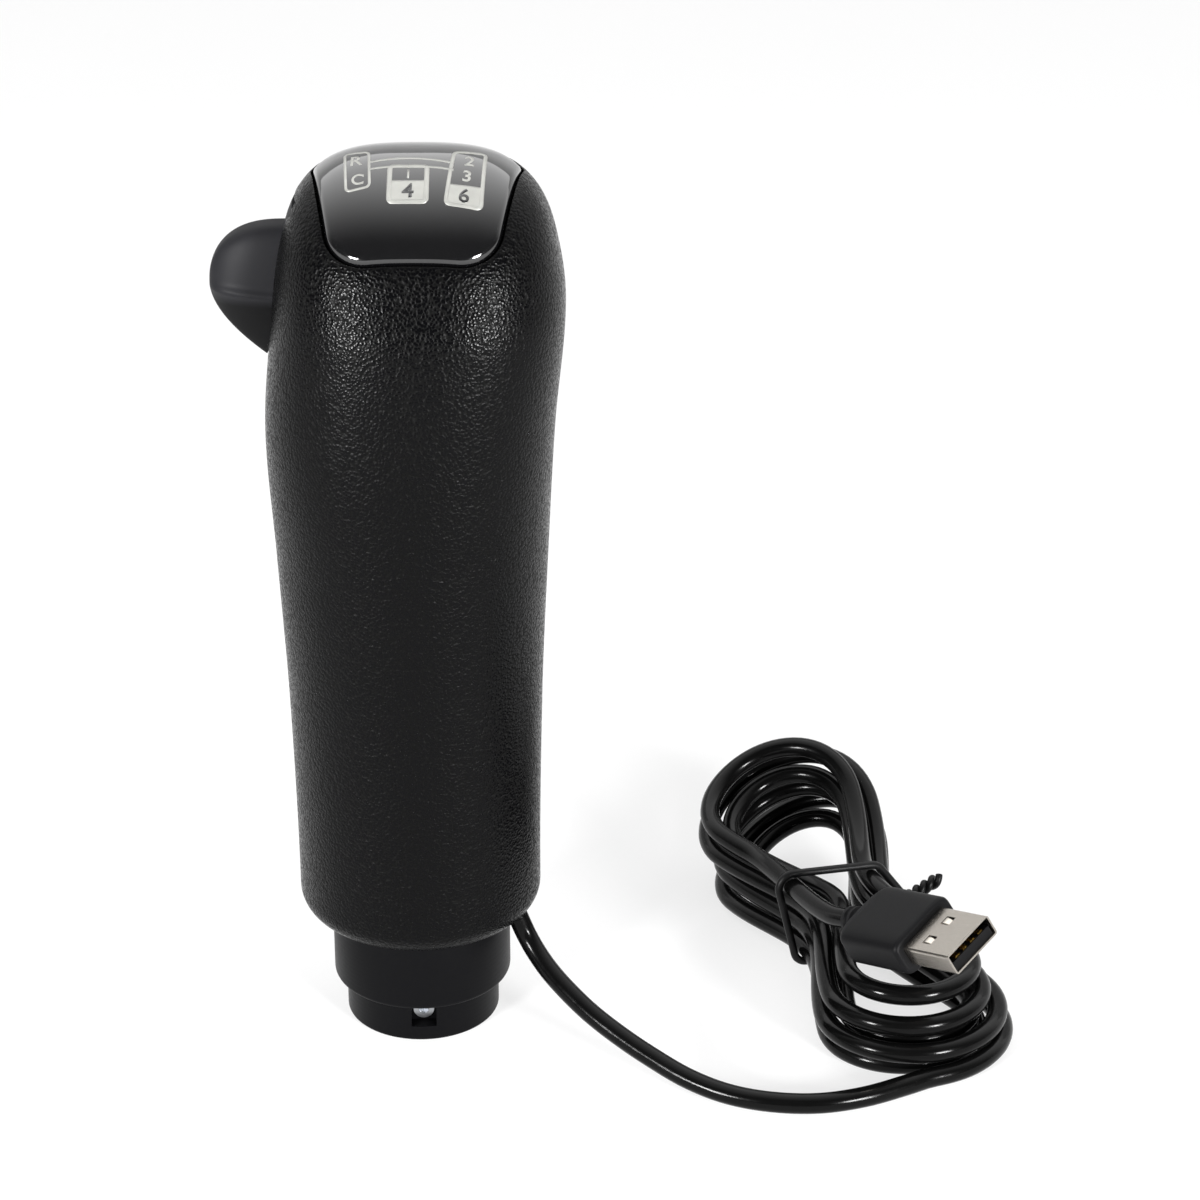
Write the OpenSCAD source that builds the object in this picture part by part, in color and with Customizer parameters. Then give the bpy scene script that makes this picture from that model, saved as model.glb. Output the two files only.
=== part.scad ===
// Gear knob for a simulator shifter: a moulded grip over a two-part core, a gear-pattern cap,
// a thumb paddle that works a slide switch, a neck that clamps on a lever, and a data lead in a hank.
// Millimetres. The origin is at the foot of the neck, on the lever's axis; -Y faces the driver.

/* [Neck and lever socket] */
// Diameter of the stepped foot of the neck
spigot_d = 30; // [26:0.5:32]
// Height of the stepped foot
spigot_h = 8.5; // [7.5:0.5:14]
// Diameter of the neck
neck_d = 34.8; // [33:0.2:36]
// Height of neck that shows between its foot and the grip
neck_show = 15; // [8:0.5:30]
// Bore for the gear lever
lever_d = 12.4; // [10:0.1:14]
// Depth of the lever's bore
lever_depth = 57.5; // [40:0.5:60]
// Wall of the metal insert round the lever
insert_wall = 3.3; // [2:0.1:3.6]
// Diameter of the grub screws that clamp the lever
grub_d = 4; // [3:0.5:4.5]
// Number of grub screws
grub_count = 3; // [1:1:4]
// Width of the window over each grub screw
window_w = 4.9; // [4.5:0.1:7]

/* [Grip] */
// Height of the grip from its lower edge to the crown
grip_h = 154.5; // [150:0.5:165]
// Height of the rounding at the lower edge
grip_edge = 5; // [3:0.5:8]
// Diameter above the lower edge
base_d = 47; // [45:0.5:52]
// Diameter low in the grip
low_d = 48.4; // [46:0.2:54]
// Diameter at the palm
palm_d = 51.1; // [48:0.1:56]
// Reach from the axis at the swell: left, right, rear, front
swell = [26.6, 27, 26.3, 26.6]; // [24:0.1:30]
// Reach at the brow: left, right, rear, front
brow = [24.6, 29, 25, 27]; // [23:0.1:32]
// Reach where the dome starts: left, right, rear, front
dome = [23.2, 27.9, 22, 24.5]; // [21:0.1:30]
// Thickness of the grip's rim under the core
rim_t = 3.5; // [2.5:0.1:6]
// Height of the domed crown
crown_h = 19; // [16:0.5:22]
// Height of the crown over the core
crown_t = 22; // [20:0.5:26]

/* [Core] */
// Outside diameter of the core
core_d = 36.6; // [35:0.2:38]
// Wall of the core
core_wall = 2.1; // [1.6:0.1:2.4]
// Thickness of the core's floor and top shelves
shelf_t = 2.6; // [2:0.1:4]
// Diameter of the screws that join the halves
core_screw_d = 2.9; // [2.2:0.1:3.2]

/* [Cap] */
// Width of the cap at its front edge
cap_front_w = 41; // [36:0.5:43]
// Width of the cap at its rear edge
cap_rear_w = 29; // [26:0.5:34]
// Reach of the cap from its centre to the rear and front edges
cap_reach = [16.7, 16.5]; // [14:0.1:18]
// Corner radius of the cap
cap_corner = 8; // [4:0.5:11]
// Thickness of the cap
cap_t = 2.4; // [2:0.1:2.6]
// Lean of the cap towards the driver
cap_lean = 35; // [25:1:45]
// Diameter of the posts under the cap
post_d = 6; // [5:0.2:6.4]

/* [Paddle] */
// Depth of the paddle's pivot below the core's top
pivot_drop = 4; // [4:0.1:6]
// Distance of the pivot from the axis
pivot_in = 10.5; // [10:0.1:11]
// Radius of the drum that fills the slot in the grip
drum_r = 17; // [16:0.1:17.2]
// Width of the paddle along its pivot
paddle_w = 10; // [8.5:0.5:10.5]
// Rear face of the paddle, ahead of the axis
paddle_y = -3; // [-4:0.1:-2.5]
// Reach of the paddle's tip from the axis
ear_tip = 36; // [33:0.5:40]
// Height of the ear over and under its tip line
ear_h = [11.2, 15.8]; // [9:0.1:17]
// Pivot pin diameter
pin_d = 3; // [2.5:0.1:3.4]
// Lift of the paddle between its two positions, degrees
paddle_lift = 14; // [8:1:14]
// Distance from the pivot to the switch's peg
arm_reach = 13.5; // [12.5:0.1:14]

/* [Board] */
// Width of the circuit board
board_w = 14.4; // [13:0.2:14.6]
// Height of the circuit board
board_h = 59; // [50:0.5:60]
// Thickness of the circuit board
board_t = 1.6; // [1:0.1:2]

/* [Lead] */
// Diameter of the lead
cable_d = 4; // [3.4:0.1:4]
// Loops in the hank, counted from its waist
hank_turns = 5.41; // [5.41:1:5.41]
// Half the length of a straight run
hank_run = 25.5; // [24:0.5:32]
// Radius of the outermost fold
hank_fold = 20.4; // [20:0.1:24]
// Sideways step from loop to loop
hank_step = 4.9; // [4.8:0.1:5.2]
// Rise from layer to layer
hank_rise = 4.6; // [4.6:0.1:5.4]
// How far each run is drawn in at the waist
hank_waist = 10.2; // [6:0.1:10.2]
// Roll of the far end, degrees
hank_roll = 24; // [0:1:26]
// Diameter of the tie wire
tie_d = 1.6; // [1.2:0.1:1.6]

/* [Plug] */
// Moulded body of the plug: length, width, height
plug_body_size = [19, 16, 8.2]; // [6:0.1:24]
// Metal shell of the plug: length, width, height
plug_shell_size = [13, 12, 4.5]; // [4:0.1:20]
// Sheet thickness of the shell
shell_t = 0.35; // [0.3:0.05:0.5]
// Length of the boot where the lead enters
boot_l = 5; // [3:0.5:8]

/* [Hidden] */
$fn = 64;

// Clearances: between fixed pieces, round the moving paddle, and on the pivot pin
fit = 0.3;
swing_gap = 0.4;
pin_fit = 0.06;
thread_fit = 0.05;
// Overrun of a cut past the face that it leaves, and a reach that passes every face of the grip
over = 1;
beyond = 60;

// Levels
grip_z = spigot_h + neck_show;
top_z = grip_z + grip_h;
core_z = grip_z + rim_t;
core_top = top_z - crown_t;
core_h = core_top - core_z;
shelf_z = core_top - shelf_t;
pivot_z = core_top - pivot_drop;
core_r = core_d / 2;
core_in = core_r - core_wall;

// Grip: height over its lower edge, then the reach to the left, right, rear and front
dome_h = grip_h - crown_h;
brow_h = dome_h - 11;
swell_h = dome_h - 33;
palm_h = dome_h - 59;
low_h = dome_h - 89;
round = function (d) [d / 2, d / 2, d / 2, d / 2];
grip_levels = [grip_edge, low_h, palm_h, swell_h, brow_h, dome_h];
grip_reach = [round(base_d), round(low_d), round(palm_d), swell, brow, dome];
// Inward lean of the four sides where the dome starts, per mm of height
dome_lean = [0.2, 0.2, 0.3, 0.25];
// How square the dome is, seen from the rear and from the side
dome_square = [3, 2];
grip_sides = 40;
side_rings = 14;
dome_rings = 10;
edge_rings = 5;

function unit(v) = v / norm(v);
function blend(x) = let (c = min(max(x, 0), 1)) c * c * (3 - 2 * c);

// Slope of the reach at level i, from its neighbours
function reach_slope(i) =
    i == 0 ? [0, 0, 0, 0] :
    i == len(grip_levels) - 1 ? -dome_lean :
    (grip_reach[i + 1] - grip_reach[i - 1]) / (grip_levels[i + 1] - grip_levels[i - 1]);

// Reach below the dome: a cubic from level to level
function side_reach(h, i = 0) =
    i < len(grip_levels) - 2 && h > grip_levels[i + 1] ? side_reach(h, i + 1) :
    let (span = grip_levels[i + 1] - grip_levels[i], t = (h - grip_levels[i]) / span)
    (2 * t^3 - 3 * t^2 + 1) * grip_reach[i] + (t^3 - 2 * t^2 + t) * span * reach_slope(i) +
    (3 * t^2 - 2 * t^3) * grip_reach[i + 1] + (t^3 - t^2) * span * reach_slope(i + 1);

// Reach in the dome: the leaning sides, closed over by a rounded crown
function dome_reach(h) =
    let (q = (h - dome_h) / (grip_h - dome_h),
        r = dome - dome_lean * (h - dome_h),
        x = (r[0] + r[1]) / 2 * (1 - q^dome_square[0])^(1 / dome_square[0]),
        y = (r[2] + r[3]) / 2 * (1 - q^dome_square[1])^(1 / dome_square[1]),
        cx = (r[1] - r[0]) / 2,
        cy = (r[3] - r[2]) / 2)
    [x - cx, x + cx, y - cy, y + cy];

// One level of the grip, inset all round; sections turn from round to slightly square upwards
function grip_ring(h, reach, inset) =
    let (x = (reach[0] + reach[1]) / 2 - inset,
        y = (reach[2] + reach[3]) / 2 - inset,
        cx = (reach[1] - reach[0]) / 2,
        cy = (reach[3] - reach[2]) / 2,
        power = 2 / (2 + 0.5 * min(max((h - palm_h) / (dome_h - palm_h), 0), 1)))
    [for (i = [0:grip_sides - 1])
        let (a = 360 * i / grip_sides, c = cos(a), s = sin(a))
        [cx + sign(c) * x * abs(c)^power, cy + sign(s) * y * abs(s)^power, grip_z + h]];

edge_levels = [for (i = [0:edge_rings - 1]) let (a = 90 * i / edge_rings) [a, grip_edge * (1 - cos(a))]];
// The lower edge rounds in to a lip close to the neck
lip_gap = 1;
edge_in = base_d / 2 - neck_d / 2 - lip_gap;
edge = [for (e = edge_levels)
    grip_ring(e[1], round(base_d), edge_in * (1 - sin(e[0])))];
walls = [for (i = [0:side_rings]) let (h = grip_edge + (dome_h - grip_edge) * i / side_rings)
    grip_ring(h, side_reach(h), 0)];
crown = [for (i = [1:dome_rings]) let (h = dome_h + (grip_h - dome_h) * sin(88 * i / dome_rings))
    grip_ring(h, dome_reach(h), 0)];

// Skin over a stack of rings with the same count of points, closed at both ends
module skin(rings) {
    n = len(rings[0]);
    last = (len(rings) - 1) * n;
    sides = [for (i = [0:len(rings) - 2], j = [0:n - 1])
        let (a = i * n + j, b = i * n + (j + 1) % n)
        each [[a, a + n, b + n], [a, b + n, b]]];
    foot = [for (j = [1:n - 2]) [0, j, j + 1]];
    head = [for (j = [1:n - 2]) [last, last + j + 1, last + j]];
    polyhedron([for (r = rings) each r], concat(sides, foot, head));
}

// The grip from the swell up, moved in by an inset, or out by a negative one
dome_axis = [(dome[1] - dome[0]) / 2, (dome[3] - dome[2]) / 2, grip_z + dome_h];
module dome_solid(inset) {
    h0 = swell_h;
    foot = [for (i = [0:4]) let (h = h0 + (dome_h - h0) * i / 4) grip_ring(h, side_reach(h), inset)];
    skin(concat(foot, [for (r = crown) [for (p = r) p - unit(p - dome_axis) * inset]]));
}

// Tube along a path; ring 0 and the last ring are square to the ends
function heading(path, i) = unit(path[min(i + 1, len(path) - 1)] - path[max(i - 1, 0)]);
module tube(path, d, sides, ref) {
    skin([for (i = [0:len(path) - 1])
        let (t = heading(path, i), s = unit(cross(t, ref)), u = cross(t, s))
        [for (k = [0:sides - 1]) let (a = 360 * k / sides) path[i] + d / 2 * (cos(a) * s + sin(a) * u)]]);
}
// Points of a smooth curve through hand-placed ones
function through(p, i, t) =
    let (a = p[max(i - 1, 0)], b = p[i], c = p[i + 1], e = p[min(i + 2, len(p) - 1)])
    b + (c - a) / 2 * t + (2 * a - 5 * b + 4 * c - e) / 2 * t^2 + (3 * b - a - 3 * c + e) / 2 * t^3;
function curve(p, steps) = concat(
    [for (i = [0:len(p) - 2], k = [0:steps - 1]) through(p, i, k / steps)], [p[len(p) - 1]]);

// Cylinder along Y from y0 to y1 at x, z
module along_y(x, z, y0, y1, d) {
    translate([x, y0, z]) rotate([-90, 0, 0]) cylinder(d = d, h = y1 - y0);
}
// Box between two corners
module block(a, b) {
    translate(a) cube(b - a);
}

// Lead inside the grip, from its way out under the rim to the board's connector
exit_r = (neck_d + base_d) / 4;
exit_turn = -20;
inner_r = 13.8;
inner_rise = 14.5;
exit_point = [exit_r * cos(exit_turn), exit_r * sin(exit_turn), grip_z];
inner_foot = [inner_r * cos(exit_turn), inner_r * sin(exit_turn), grip_z + inner_rise];
way_clear = 0.4;
cord_x = 1.5;
cord_y = -3.6;

// Way of the lead through the rim, the core's wall and the neck's flange
module cable_way() {
    dir = inner_foot - exit_point;
    lean = atan2(exit_r - inner_r, inner_rise);
    translate(exit_point - unit(dir) * 3) rotate([0, 0, exit_turn]) rotate([0, -lean, 0])
        cylinder(d = cable_d + 2 * way_clear, h = norm(dir) + 4.5);
}

// Slot for the paddle through the grip and the core
pocket_x = 8;
paddle_front = paddle_y + paddle_w;
module paddle_slot() {
    intersection() {
        along_y(-pivot_in, pivot_z, paddle_y - swing_gap, paddle_front + swing_gap, 2 * (drum_r + swing_gap));
        block([-beyond, -beyond, 0], [-pocket_x, beyond, 2 * top_z]);
    }
}

// Outline of the cap: four corners, each rounded by an arc
cap_x = 2.2;
cap_drop = 13;
cap_z = top_z - cap_drop;
cap_corners = [[-cap_rear_w / 2, -cap_reach[0]], [cap_rear_w / 2, -cap_reach[0]],
    [cap_front_w / 2, cap_reach[1]], [-cap_front_w / 2, cap_reach[1]]];
function corner_arc(a, b, c, r, steps) =
    let (u = unit(a - b), v = unit(c - b), half = acos(u * v) / 2, mid = b + unit(u + v) * r / sin(half),
        start = atan2((b + u * r / tan(half) - mid)[1], (b + u * r / tan(half) - mid)[0]))
    [for (i = [0:steps]) let (t = start + (180 - 2 * half) * i / steps) mid + r * [cos(t), sin(t)]];
function rounded(p, r, steps) = [for (i = [0:len(p) - 1])
    each corner_arc(p[(i + len(p) - 1) % len(p)], p[i], p[(i + 1) % len(p)], r, steps)];
function grown(p, g) = [for (q = p) q + [sign(q[0]), sign(q[1])] * g];
module cap_prism(grow) {
    translate([cap_x, 0, cap_z]) rotate([cap_lean, 0, 0])
        linear_extrude(beyond) polygon(rounded(grown(cap_corners, grow), cap_corner + grow, 6));
}
post_spots = [[-3, -11], [8, -10.5], [3, 8.6]];
cap_proud = 0.25;

// Grip: one soft moulding, bored for the core, with the cap's seat in its crown
module grip_sleeve() color([0.07, 0.07, 0.075]) {
    difference() {
        skin(concat(edge, walls, crown));
        translate([0, 0, core_z]) cylinder(r = core_r + fit, h = core_h + fit);
        translate([0, 0, grip_z - over]) cylinder(d = neck_d + 2 * fit, h = rim_t + 2 * over);
        difference() {
            cap_prism(fit);
            dome_solid(cap_t + fit);
        }
        for (p = post_spots)
            translate([p[0], p[1], core_top - over]) cylinder(d = post_d + 2 * fit, h = grip_h);
        paddle_slot();
        cable_way();
    }
}

// Core: a tube in two halves, with the floor that grips the neck and the shelves that carry the cap
core_screw_x = 12.2;
core_screw_z = [core_z + core_h * 0.442, core_z + core_h * 0.752];
boss_d = 6.4;
screw_seat = 7;
screw_reach = 8;
floor_d = 27.6;
shelf_rear = -8.6;
shelf_front = 5.7;
shelf_left = -5;
rear_shelf_left = -7.4;
pin_boss_d = 6.8;
pin_boss_rear = -9;
pin_end = 13.6;
cap_screw_d = 2.9;

module core_tube() {
    difference() {
        translate([0, 0, core_z]) cylinder(r = core_r, h = core_h);
        translate([0, 0, core_z + shelf_t]) cylinder(r = core_in, h = core_h);
        translate([0, 0, core_z - over]) cylinder(d = floor_d, h = shelf_t + 2 * over);
    }
}
// Everything inside the core's outer face on one side of the split; side is -1 rear, 1 front
module half(side) {
    intersection() {
        translate([0, 0, core_z]) cylinder(r = core_r, h = core_h);
        block([-beyond, side < 0 ? -beyond : 0, 0], [beyond, side < 0 ? 0 : beyond, 2 * top_z]);
        children();
    }
}
module core_cuts() {
    paddle_slot();
    along_y(-pivot_in, pivot_z, -pin_end - fit, pin_end + fit, pin_d + 2 * thread_fit);
    for (x = [-core_screw_x, core_screw_x], z = core_screw_z)
        along_y(x, z, -screw_seat - over, screw_reach + over, core_screw_d + 2 * thread_fit);
    for (p = post_spots)
        translate([p[0], p[1], shelf_z - over]) cylinder(d = cap_screw_d + 2 * thread_fit, h = shelf_t + 2 * over);
}

module core_front() color([0.2, 0.2, 0.21]) {
    difference() {
        half(1) {
            union() {
                core_tube();
                for (x = [-core_screw_x, core_screw_x], z = core_screw_z) along_y(x, z, 0, core_r, boss_d);
                block([shelf_left, shelf_front, shelf_z], [core_r, core_r, core_top]);
                along_y(-pivot_in, pivot_z, paddle_front + swing_gap, core_r, pin_boss_d);
            }
        }
        core_cuts();
    }
}

module core_rear() color([0.2, 0.2, 0.21]) {
    difference() {
        half(-1) {
            union() {
                core_tube();
                for (x = [-core_screw_x, core_screw_x], z = core_screw_z) along_y(x, z, -core_r, 0, boss_d);
                block([rear_shelf_left, -core_r, shelf_z], [core_r, shelf_rear, core_top]);
                along_y(-pivot_in, pivot_z, -core_r, pin_boss_rear, pin_boss_d);
                for (x = board_screw_x, z = board_screw_z) along_y(x, z, -core_r, board_back, board_boss_d);
                for (x = clamp_screw_x) along_y(x, clamp_z, -core_r, clamp_y, board_boss_d);
                block([cord_x - clamp_h / 2, -core_r, clamp_z - clamp_h / 2],
                    [cord_x + clamp_h / 2, cord_y - cable_d / 2, clamp_z + clamp_h / 2]);
            }
        }
        core_cuts();
        for (x = [-core_screw_x, core_screw_x], z = core_screw_z)
            along_y(x, z, -core_r - over, -screw_seat, core_screw_head_d + 2 * fit);
        for (x = board_screw_x, z = board_screw_z)
            along_y(x, z, board_back - small_screw_l, board_back + over, small_screw_d + 2 * thread_fit);
        for (x = clamp_screw_x)
            along_y(x, clamp_z, clamp_y - small_screw_l, clamp_y + over, small_screw_d + 2 * thread_fit);
        cable_way();
    }
}

// Pan-head screw along +Z, its head under the origin
module screw(d, l, head_d, head_h) {
    difference() {
        union() {
            cylinder(d = d, h = l);
            translate([0, 0, -head_h]) cylinder(d = head_d, h = head_h);
        }
        for (a = [0, 90]) rotate([0, 0, a])
            translate([-head_d * 0.3, -head_h / 6, -head_h - over])
                cube([head_d * 0.6, head_h / 3, over + head_h / 2]);
    }
}
core_screw_head_d = 5;
core_screw_head_h = 1.9;
module core_screws() color("silver") {
    for (x = [-core_screw_x, core_screw_x], z = core_screw_z)
        translate([x, -screw_seat, z]) rotate([-90, 0, 0])
            screw(core_screw_d, screw_seat + screw_reach, core_screw_head_d, core_screw_head_h);
}

// Cap: a gloss plate that follows the dome, on three posts
post_screw_l = 9;
module gear_cap() color([0.03, 0.03, 0.035]) {
    difference() {
        union() {
            difference() {
                intersection() {
                    dome_solid(-cap_proud);
                    cap_prism(0);
                }
                dome_solid(cap_t);
            }
            intersection() {
                for (p = post_spots)
                    translate([p[0], p[1], core_top]) cylinder(d = post_d, h = grip_h);
                dome_solid(cap_t / 2);
            }
        }
        for (p = post_spots)
            translate([p[0], p[1], core_top - over])
                cylinder(d = cap_screw_d + 2 * thread_fit, h = post_screw_l - shelf_t + over);
    }
}
module cap_screws() color("silver") {
    for (p = post_spots) translate([p[0], p[1], shelf_z])
        screw(cap_screw_d, post_screw_l, 4.4, 1.6);
}

// Neck: a turned plastic foot with a window over each grub screw, a waist for the core's floor and a tower
insert_d = lever_d + 2 * insert_wall;
tower_d = insert_d + 3.8;
tower_top = lever_depth + 2.5;
neck_in = 1.1;
waist_d = floor_d - 2 * fit;
flange_d = 31;
flange_z = core_z + shelf_t;
flange_t = 3;
window_z = [3.2, 8.2];
window_floor = 12;
grub_z = (window_z[0] + window_z[1]) / 2;
grub_turn = 3;
// Places children at each grub screw, with +X pointing out from the lever
module at_grubs() {
    for (i = [0:grub_count - 1]) rotate([0, 0, -90 + grub_turn + 360 * i / grub_count])
        translate([0, 0, grub_z]) children();
}
module grub_hole(d) {
    rotate([0, 90, 0]) cylinder(d = d, h = neck_d);
}
module neck_socket() color([0.1, 0.1, 0.105]) {
    difference() {
        rotate_extrude() polygon([[0, 0], [spigot_d / 2, 0], [spigot_d / 2, spigot_h], [neck_d / 2, spigot_h],
            [neck_d / 2, grip_z + neck_in], [waist_d / 2, grip_z + neck_in], [waist_d / 2, flange_z],
            [flange_d / 2, flange_z], [flange_d / 2, flange_z + flange_t], [tower_d / 2, flange_z + flange_t],
            [tower_d / 2, tower_top], [0, tower_top]]);
        translate([0, 0, -over]) cylinder(d = insert_d + 2 * thread_fit, h = lever_depth + over);
        at_grubs() grub_hole(grub_d + 2 * thread_fit);
        at_grubs() block([window_floor, -window_w / 2, window_z[0] - grub_z],
            [neck_d, window_w / 2, min(window_z[1], spigot_h) - grub_z]);
        cable_way();
    }
}
module lever_insert() color([0.72, 0.72, 0.74]) {
    difference() {
        cylinder(d = insert_d, h = lever_depth);
        translate([0, 0, -over]) cylinder(d = lever_d, h = lever_depth + 2 * over);
        at_grubs() grub_hole(grub_d + 2 * thread_fit);
    }
}
grub_out = 12.4;
key_d = 2.2;
module grub_screws() color([0.6, 0.6, 0.62]) {
    at_grubs() difference() {
        translate([lever_d / 2 + thread_fit, 0, 0]) rotate([0, 90, 0])
            cylinder(d = grub_d, h = grub_out - lever_d / 2 - thread_fit);
        translate([grub_out - grub_d / 2, 0, 0]) rotate([0, 90, 0]) cylinder(d = key_d, h = grub_d, $fn = 6);
    }
}

// Board, upright behind the paddle's arm, on four bosses of the rear half
board_front = -6;
board_back = board_front - board_t;
board_mid = 1.5;
board_screw_half = 5;
board_screw_rise = [12, 42];
board_top = core_top - 1;
board_z = board_top - board_h;
board_screw_x = [board_mid - board_screw_half, board_mid + board_screw_half];
board_screw_z = [board_z + board_screw_rise[0], board_z + board_screw_rise[1]];
board_boss_d = 4.8;
small_screw_d = 2;
small_screw_l = 5;
small_head_d = 3.8;
small_head_h = 1.4;
module circuit_board() color([0.05, 0.3, 0.15]) {
    difference() {
        block([board_mid - board_w / 2, board_back, board_z], [board_mid + board_w / 2, board_front, board_top]);
        for (x = board_screw_x, z = board_screw_z)
            along_y(x, z, board_back - over, board_front + over, small_screw_d + 2 * fit);
    }
}
module board_screws() color("silver") {
    for (x = board_screw_x, z = board_screw_z)
        translate([x, board_front, z]) rotate([90, 0, 0])
            screw(small_screw_d, board_t + small_screw_l - over, small_head_d, small_head_h);
}
chip_size = [7, 1.1, 7];
chip_rise = 23.5;
crystal_size = [5, 1.8, 2];
crystal_rise = 17.5;
capacitor_size = [2, 0.9, 1.2];
capacitor_pitch = 3;
capacitor_rise = 34;
module controller_chip() color([0.12, 0.12, 0.12]) {
    translate([board_mid - chip_size[0] / 2, board_front, board_z + chip_rise]) cube(chip_size);
}
module board_parts() color([0.75, 0.7, 0.6]) {
    translate([board_mid - crystal_size[0] / 2, board_front, board_z + crystal_rise]) cube(crystal_size);
    for (i = [-1:1])
        translate([board_mid + i * capacitor_pitch - capacitor_size[0] / 2, board_front, board_z + capacitor_rise])
            cube(capacitor_size);
}
socket_size = [8, 4.8, 6];
socket_z = board_z + 1;
module board_socket() color([0.9, 0.88, 0.8]) {
    translate([cord_x - socket_size[0] / 2, board_front, socket_z]) cube(socket_size);
}
connector_size = [7, 4, 6];
connector_z = socket_z - connector_size[2];
module cable_connector() color([0.9, 0.88, 0.8]) {
    translate([cord_x - connector_size[0] / 2, cord_y - connector_size[1] / 2, connector_z]) cube(connector_size);
}

// Slide switch on the board; its peg stands in the fork of the paddle's arm
switch_size = [5.6, 4, 8];
peg_x = arm_reach - pivot_in;
peg_d = 2;
peg_travel = arm_reach * tan(paddle_lift);
peg_end = 5.3;
peg_root = 2.3;
switch_face = board_front + switch_size[1];
module slide_switch() color([0.15, 0.15, 0.16]) {
    difference() {
        translate([peg_x - switch_size[0] / 2, board_front, pivot_z - peg_travel / 2 - switch_size[2] / 2])
            cube(switch_size);
        block([peg_x - peg_d / 2 - fit, switch_face - peg_root - fit, pivot_z - peg_travel - peg_d / 2 - fit],
            [peg_x + peg_d / 2 + fit, switch_face + over, pivot_z + peg_d / 2 + fit]);
    }
}
module switch_peg() color([0.85, 0.85, 0.82]) {
    along_y(peg_x, pivot_z, switch_face - peg_root, peg_end, peg_d);
}

// Paddle: an ear outside the grip, a drum that fills the slot, a hub on the pin and a forked arm
hub_d = 8.4;
drum_cut = 3;
arm_h = 5;
arm_y = [2.2, 5.2];
arm_end = 3;
fork_gap = 0.35;
ear_root = 22;
ear_z = pivot_z + 1.5;
ear_rings = 9;
ear_sides = 28;
ear_ridge = 0.5;
// How far the ear stays inside the drum's faces
ear_inset = 0.25;
// Drop of the ridge from the tip to the root
ear_drop = 5;
// Section of the ear u of the way from root to tip: a rounded wedge, its ridge to the rear
function ear_ring(u) =
    let (drop = ear_drop * (1 - u), up = ear_h[0] * (1 - u^2)^0.5 + drop, down = ear_h[1] * (1 - u)^0.52 - drop,
        w = (paddle_w / 2 - ear_inset) * (1 - u^3)^0.5)
    [for (i = [0:ear_sides - 1])
        let (a = 360 * i / ear_sides, c = cos(a), s = sin(a), z = s > 0 ? s * up : s * down)
        [-ear_root - (ear_tip - ear_root) * u,
            paddle_y + paddle_w / 2 + w * sign(c) * abs(c)^0.7 + (c < 0 ? ear_ridge * w * abs(s) : 0),
            ear_z - drop + z]];
module ear() {
    inner = ear_root - pivot_in - drum_cut - over;
    skin([for (i = [ear_rings:-1:-1])
        i < 0 ? [for (p = ear_ring(0)) p + [inner, 0, 0]] : ear_ring(0.995 * sin(90 * i / ear_rings))]);
}
module range_paddle() color([0.16, 0.16, 0.17]) {
    difference() {
        union() {
            difference() {
                ear();
                clear_of_grip();
            }
            intersection() {
                along_y(-pivot_in, pivot_z, paddle_y, paddle_front, 2 * drum_r);
                block([-beyond, -beyond, 0], [-pivot_in - drum_cut, beyond, 2 * top_z]);
            }
            along_y(-pivot_in, pivot_z, paddle_y, paddle_front, hub_d);
            block([-pivot_in - drum_cut - over, paddle_y, pivot_z - hub_d / 2],
                [-pivot_in, paddle_front, pivot_z + hub_d / 2]);
            block([-pivot_in, arm_y[0], pivot_z - arm_h / 2], [peg_x + arm_end, arm_y[1], pivot_z + arm_h / 2]);
        }
        along_y(-pivot_in, pivot_z, paddle_y - over, paddle_front + over, pin_d + 2 * pin_fit);
        block([peg_x - peg_d, arm_y[0] - over, pivot_z - peg_d / 2 - fork_gap],
            [peg_x + arm_end + over, arm_y[1] + over, pivot_z + peg_d / 2 + fork_gap]);
    }
}
// Turns children back round the pivot, as the paddle sees them when it is lifted
module seen_lifted(a) {
    translate([-pivot_in, 0, pivot_z]) rotate([0, -a, 0]) translate([pivot_in, 0, -pivot_z]) children();
}
// The grip's outside near the ear, moved out by the swing gap, at rest, half and fully lifted,
// less the drum's own room
module clear_of_grip() {
    difference() {
        union() {
            for (i = [0:2]) seen_lifted(paddle_lift * i / 2) dome_solid(-swing_gap);
        }
        along_y(-pivot_in, pivot_z, paddle_y - over, paddle_front + over, 2 * drum_r);
    }
}
module pivot_pin() color("silver") {
    along_y(-pivot_in, pivot_z, -pin_end, pin_end, pin_d);
}
spacer_d = 5.4;
module pivot_spacer() color([0.85, 0.83, 0.76]) {
    difference() {
        along_y(-pivot_in, pivot_z, pin_boss_rear + thread_fit, paddle_y - fit, spacer_d);
        along_y(-pivot_in, pivot_z, pin_boss_rear - over, paddle_y + over, pin_d + 2 * pin_fit);
    }
}

// Clamp bar that holds the lead on a rib of the rear half
clamp_h = 4.6;
clamp_drop = 7;
clamp_z = connector_z - clamp_drop;
clamp_y = cord_y + cable_d / 2;
clamp_t = 2.2;
clamp_screw_x = [cord_x - 4.9, cord_x + 4.9];
clamp_half = 7.2;
module cord_clamp() color([0.2, 0.2, 0.21]) {
    difference() {
        block([cord_x - clamp_half, clamp_y, clamp_z - clamp_h / 2],
            [cord_x + clamp_half, clamp_y + clamp_t, clamp_z + clamp_h / 2]);
        for (x = clamp_screw_x)
            along_y(x, clamp_z, clamp_y - over, clamp_y + clamp_t + over, small_screw_d + 2 * fit);
    }
}
module clamp_screws() color("silver") {
    for (x = clamp_screw_x) translate([x, clamp_y + clamp_t, clamp_z]) rotate([90, 0, 0])
        screw(small_screw_d, clamp_t + small_screw_l - over, small_head_d, small_head_h);
}
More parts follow.
